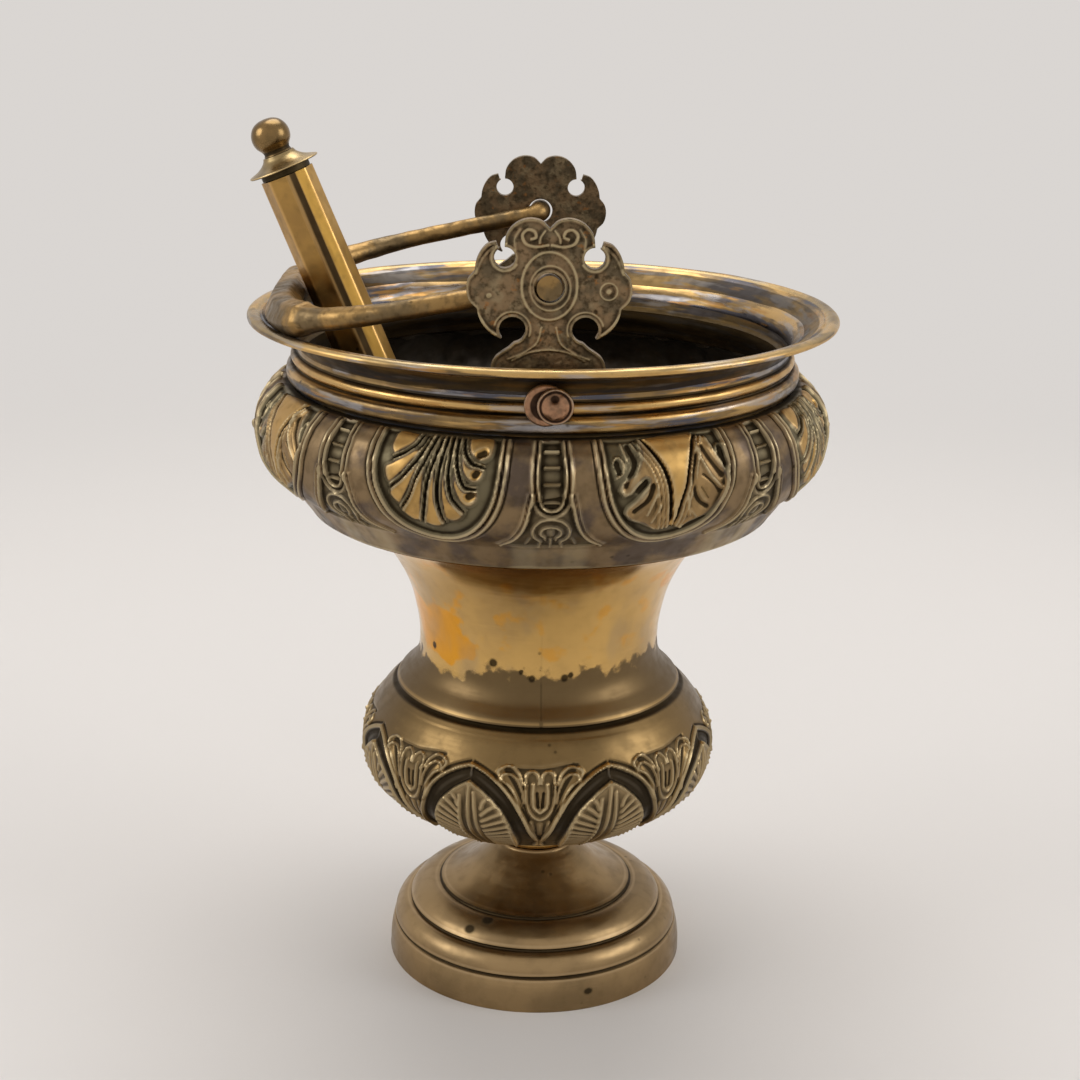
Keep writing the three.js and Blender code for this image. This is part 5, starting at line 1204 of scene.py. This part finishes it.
class BUCKET_OT_aspergillum(Operator):
    """Aspergillum: perforated ball with its sponge, ferrule, octagonal tube, flange and ball finial"""

    bl_idname = "bucket.aspergillum"
    bl_label = "Aspergillum"

    def execute(self, context):
        place = (np.array(Matrix.Rotation(-LEAN, 3, "Y")), BALL_CENTRE)
        self.tube(place)
        self.fittings(place)
        self.ball(place)
        paint("tie_rod", "stud steel")
        return {"FINISHED"}

    def tube(self, place):
        """The octagonal tube, with painted shade on one strip of its facets and a painted highlight on the strip beside
        it.
        """
        low, high = 38.6, 258.1
        along, theta = np.linspace(low, high, 180), around(192)
        eight = sum(np.cos(theta - turn).clip(0) ** 70 for turn in np.radians(-15 + 45 * np.arange(8))) ** (-1 / 70)
        outer = np.interp(along, (low, high), (10.1, 9.35))[:, None] * eight + turning_waves(theta, along, 0.1, 91)
        radius = np.concatenate([outer, np.full((60, len(theta)), 7.2)])
        height = np.concatenate([along, np.linspace(high, low, 60)])[:, None] + 0 * theta
        # Painted light by angle from the front: painted shade on the facets from 3 to 28 degrees, a painted highlight
        # from 27 to 98
        away = np.degrees(from_front(theta))
        dark = rounded_step((away - 3) / 4) * rounded_step((28 - away) / 3)
        gold = rounded_step((away - 27) / 3) * rounded_step((98 - away) / 5)
        edges = 0.5 * ((eight - 1.035).clip(0) / 0.034)
        make_piece("octagonal_tube", put(turned_points(np.stack([radius, height], -1), theta), place),
                   [grid_faces(*radius.shape, True, True)], ("aspergillum", "bright_brass", "bright brass"),
                   ("handle_tube",), {key: np.tile(value, (len(radius), 1))
                                      for key, value in (("facet_light", gold - dark), ("patina_and_painted_light", -edges))})

    def fittings(self, place):
        """The turned ferrule, the cap and the finial."""
        ferrule = outline([[(7.8, 30.3), (9.1, 31.9), (11.3, 33.6), (11.7, 35), (11.3, 36.2)],
                           [(11.3, 36.2), (10.8, 36.6), (11, 37.4), (11.4, 38.3)]], 0.35)
        bore = np.array([(11.4, 38.3), (6.9, 38.3), (6.9, 44.3), (2.4, 44.3), (2.4, 30.3), (7.8, 30.3)])
        turned_piece("turned_ferrule", ferrule, bore, 96, ("aspergillum", "bright_brass", "bright brass"),
                     ("tube_ferrule",), place=place)
        cap = outline([[(9.3, 258.4), (9.3, 260.5)], [(9.3, 260.5), (12.9, 260.5)],
                       [(12.9, 260.5), (13.3, 260.8), (13.1, 261.2)],
                       [(13.1, 261.2), (11.6, 261.7), (9.4, 262.5), (7.6, 263.6), (6.4, 264.8), (5.9, 265.9)],
                       [(5.9, 265.9), (2.4, 265.9)]], 0.3)
        spigot = np.array([(2.4, 265.9), (2.4, 252.3), (7, 252.3), (7, 258.4), (9.3, 258.4)])
        # Painted shadow on the flange's underside and the collar below it, and a painted highlight along the flange's
        # rounded edge
        turned_piece("swept_cap", cap, spigot, 128, ("aspergillum", "bright_brass", "cap brass"), ("cap_flange",),
                     patina_and_painted_light=lambda theta, loop: (0.7 * (loop[:, 1] < 260.7)
                                                 - 0.6 * near(loop, [(13.3, 260.9)], 0.5))[:, None], place=place)
        finial = outline([[(0, 266.1), (5.3, 266.1)], [(5.3, 266.1), (4.9, 267), (5.3, 268.2)],
                          [(5.3, 268.2), (6.7, 270.2), (7.2, 272.6), (6.7, 275.2), (5, 277.6), (2.6, 278.8),
                           (0, 279.1)]], 0.4)
        turned_solid("ball_finial", finial, 96, ("aspergillum", "bright_brass", "finial brass"), ("finial_ball",),
                     place, patina_and_painted_light=lambda points: 0.6 * bell(points[:, 2], 267.2, 0.9))

    def ball(self, place):
        """The porous sponge and the perforated shell round it."""
        pole = np.linspace(-np.pi / 2, np.pi / 2, 120)

        def porous(points):
            """The radius falls in smooth pits around seeded points on the ball."""
            chance = np.random.default_rng(17).normal(size=(220, 3))
            chance /= np.linalg.norm(chance, axis=1, keepdims=True)
            length = np.linalg.norm(points, axis=1, keepdims=True).clip(1e-6)
            pit = np.exp(((points / length) @ chance.T - 1) * 260).max(1, keepdims=True)
            return points * (1 - 0.09 * pit)

        sponge = turned_solid("round_sponge", np.stack([14.9 * np.cos(pole), 14.9 * np.sin(pole)], 1), 200,
                              ("sponge", "sponge", "sea sponge"), ("sponge",), (np.eye(3), place[1]), porous)

        def arc(radius, start, end):
            return [(radius * math.cos(a), radius * math.sin(a)) for a in np.radians(np.linspace(start, end, 15))]

        shell = outline([arc(BALL_RADIUS, -86.3, -8.1), [(16.83, -2.4), (17.8, -2.4)], [(17.8, -2.4), (18, -2.2)],
                         [(18, -2.2), (18, -0.25)], [(18, -0.25), (17.5, 0)], [(17.5, 0), (18, 0.25)],
                         [(18, 0.25), (18, 2.2)], [(18, 2.2), (17.8, 2.4)], [(17.8, 2.4), (16.83, 2.4)],
                         arc(BALL_RADIUS, 8.1, 67.9), [(6.4, 15.75), (6.3, 19), (6.4, 23.5)],
                         [(6.4, 23.5), (7.8, 26.75)], [(7.8, 26.75), (7.8, 30)]], 0.4)
        cavity = outline([[(7.8, 30), (2.4, 30)], [(2.4, 30), (2.4, 15.4)], arc(15.6, 81.1, -86)], 1.0)
        drilled = np.concatenate([
            turned_points(np.array([(math.cos(up), math.sin(up))]), np.radians(start + turn * np.arange(count)))[0]
            for up, turn, count, start in ((math.radians(30), 36, 10, 0), (math.radians(-33), 36, 10, 0),
                                           (math.radians(-61), 72, 5, 36))])

        def drill(theta, loop):
            """One within the drilled holes and nought outside, on the outer side of the shell."""
            unit = turned_points(loop, theta) / np.linalg.norm(loop, axis=1)[:, None, None]
            gap = BALL_RADIUS * np.arccos((unit @ drilled.T).clip(-1, 1)).min(-1)
            return rounded_step((1.25 - gap) / 0.5) * outer_rows(loop, shell)

        # The drilled holes are shallow pits painted dark: painted shade for the dark inside of a hole
        turned_piece("perforated_ball", shell, cavity, 256, ("aspergillum", "aged_brass", "foot brass"),
                     ("head_upper_half", "head_lower_half"), lambda theta, loop: -1.1 * drill(theta, loop),
                     lambda theta, loop: drill(theta, loop) + 0.8 * near(
                         loop, [(17.5, 0), (16.9, 2.5), (16.9, -2.5)], 0.4)[:, None], place=place)


class BUCKET_OT_finishes(Operator):
    """Aged brass in its several states, copper, steel, lead and sponge"""

    bl_idname = "bucket.finishes"
    bl_label = "Finishes"

    def execute(self, context):
        make_finishes(context.scene.bucket_colours)
        return {"FINISHED"}


class BUCKET_OT_stage(Operator):
    """Pale floor that curves up into a backdrop, soft lamps and the camera"""

    bl_idname = "bucket.stage"
    bl_label = "Stage, light and camera"

    def execute(self, context):
        pale = tuple(context.scene.bucket_colours.paper)
        self.floor(context.scene, pale)
        self.lights(context.scene, sized(context), pale)
        self.camera(context.scene)
        return {"FINISHED"}

    def floor(self, scene, pale):
        turn = np.linspace(0, np.pi / 2, 24)
        bend = np.stack([900 + 700 * np.sin(turn), 699.95 - 700 * np.cos(turn)], 1)
        line = np.concatenate([[(-3000, -0.05)], bend, [(1600, 3500)]])
        points = np.stack([np.tile((-4000, 4000), len(line)), *np.repeat(line, 2, axis=0).T], 1)
        mesh = bpy.data.meshes.new("studio_sweep")
        mesh.from_pydata((points * MM).tolist(), [], grid_faces(len(line), 2, False, False).tolist())
        mesh.shade_smooth()
        sweep = bpy.data.objects.new("studio_sweep", mesh)
        scene.collection.objects.link(sweep)
        f = Finish("studio paper")
        cloud = f.noise(400, 2)
        f.finish(f.blend(cloud, pale, dimmed(pale, 0.97)), 0.9, cloud, 0.01, 0.0)
        away = f.add("ShaderNodeVectorMath", operation="LENGTH")
        f.feed(f.spot, away.inputs[0])
        glow = f.add("ShaderNodeEmission")
        f.feed(pale, glow.inputs["Color"])
        f.mix(f.math("MULTIPLY", f.seen(), f.between(away.outputs["Value"], *FLOOR_FADE)), f.shader.outputs[0],
              glow.outputs[0], "Material Output")
        mesh.materials.append(f.material)

    def lights(self, scene, sizes, pale):
        """Even light from all round, behind which the camera sees the backdrop's colour, and three soft lamps."""
        scene.world = bpy.data.worlds.new("studio room")
        room = Nodes(scene.world)
        even, backdrop = room.tree.nodes["Background"], room.add("ShaderNodeBackground")
        for node, colour, strength in ((even, (1, 0.985, 0.965), sizes.room_light), (backdrop, pale, 1)):
            room.feed(colour, node.inputs["Color"])
            room.feed(strength, node.inputs["Strength"])
        room.mix(room.seen(), even.outputs[0], backdrop.outputs[0], "World Output")
        for name, place, aim, width, power in (
                ("soft_top", (0, 0.55, 1.6), (0, 0, 0.1), 1.3, sizes.top_light),
                ("soft_left", (-1.35, -0.35, 0.85), (0, 0, 0.16), 0.9, sizes.side_light),
                ("soft_right", (1.35, -0.35, 0.85), (0, 0, 0.16), 0.9, sizes.side_light)):
            lamp = bpy.data.lights.new(name, "AREA")
            lamp.shape, lamp.size, lamp.energy = "DISK", width, power
            shine = bpy.data.objects.new(name, lamp)
            scene.collection.objects.link(shine)
            shine.location = place
            shine.rotation_euler = (Vector(aim) - Vector(place)).to_track_quat("-Z", "Y").to_euler()

    def camera(self, scene):
        aside, down, roll = (math.radians(angle) for angle in CAMERA_TURN)
        away, height = CAMERA_PLACE
        lens = bpy.data.cameras.new("camera")
        lens.sensor_width, lens.lens = 36, CAMERA_FOCAL * 36
        camera = bpy.data.objects.new("camera", lens)
        scene.collection.objects.link(camera)
        ahead = Vector((-math.sin(aside) * math.cos(down), math.cos(aside) * math.cos(down), -math.sin(down)))
        right = Vector((math.cos(aside), math.sin(aside), 0))
        up = right.cross(ahead)
        side = math.cos(roll) * right + math.sin(roll) * up
        top = -math.sin(roll) * right + math.cos(roll) * up
        pose = Matrix((side, top, -ahead)).transposed().to_4x4()
        pose.translation = (away * math.sin(aside), -away * math.cos(aside), height)
        camera.matrix_world = pose
        scene.camera = camera
        scene.view_settings.view_transform = "Standard"


class BucketSizes(PropertyGroup):
    relief: FloatProperty(name="Embossing", description="How deep the embossing is, as a share of the real depth",
                          default=1.0, min=0, max=2)
    chase_step: FloatProperty(name="Chasing step", description="Distance between points of the embossed skins",
                              default=0.0005, unit="LENGTH", subtype="DISTANCE")
    pivot_height: FloatProperty(name="Pivot height", description="Height of the bail's axis over the floor",
                                default=0.2883, unit="LENGTH", subtype="DISTANCE")
    room_light: FloatProperty(name="Room light", description="Strength of the even light from all round", default=0.55)
    top_light: FloatProperty(name="Top lamp", description="Power of the large soft lamp above and behind",
                             default=14, unit="POWER")
    side_light: FloatProperty(name="Side lamps", description="Power of each of the two lamps left and right",
                              default=6, unit="POWER")


class BucketColours(PropertyGroup):
    gold: FloatVectorProperty(name="Gold", description="Worn brass", default=(0.42, 0.26, 0.088), subtype="COLOR",
                              min=0, max=1)
    olive: FloatVectorProperty(name="Olive", description="Thin brown-green skin over the brass",
                               default=(0.21, 0.14, 0.062), subtype="COLOR", min=0, max=1)
    # The deep brown also serves for the painted shade that the finishes lay on
    deep: FloatVectorProperty(name="Deep brown", description="Patina in the hollows", default=(0.075, 0.052, 0.026),
                              subtype="COLOR", min=0, max=1)
    copper: FloatVectorProperty(name="Copper", description="Rivets and their rings", default=(0.4, 0.22, 0.125),
                                subtype="COLOR", min=0, max=1)
    sponge: FloatVectorProperty(name="Sponge", description="Sponge inside the ball", default=(0.6, 0.43, 0.15),
                                subtype="COLOR", min=0, max=1)
    paper: FloatVectorProperty(name="Paper", description="Floor and backdrop", default=(0.7, 0.67, 0.645),
                               subtype="COLOR", min=0, max=1)


ORDER = (BUCKET_OT_finishes, BUCKET_OT_stage, BUCKET_OT_foot, BUCKET_OT_bowl, BUCKET_OT_waist, BUCKET_OT_bulge,
         BUCKET_OT_neck, BUCKET_OT_ears, BUCKET_OT_bail, BUCKET_OT_aspergillum)


class BUCKET_PT_sidebar(Panel):
    """Lists the sizes, the colours and the steps that make the bucket"""

    bl_label = "Holy Water Bucket"
    bl_idname = "BUCKET_PT_sidebar"
    bl_space_type = "VIEW_3D"
    bl_region_type = "UI"
    bl_category = "Bucket"

    def draw(self, context):
        column = self.layout.column()
        for group in (context.scene.bucket_sizes, context.scene.bucket_colours):
            for key in group.__annotations__:
                column.prop(group, key)
        for step in ORDER:
            column.operator(step.bl_idname)


CLASSES = (BucketSizes, BucketColours, *ORDER, BUCKET_PT_sidebar)


def register():
    for kind in CLASSES:
        bpy.utils.register_class(kind)
    bpy.types.Scene.bucket_sizes = PointerProperty(type=BucketSizes)
    bpy.types.Scene.bucket_colours = PointerProperty(type=BucketColours)


def unregister():
    del bpy.types.Scene.bucket_colours
    del bpy.types.Scene.bucket_sizes
    for kind in reversed(CLASSES):
        bpy.utils.unregister_class(kind)


def main():
    register()
    for step in ORDER:
        getattr(bpy.ops.bucket, step.bl_idname.split(".")[1])()


if __name__ == "__main__":
    main()
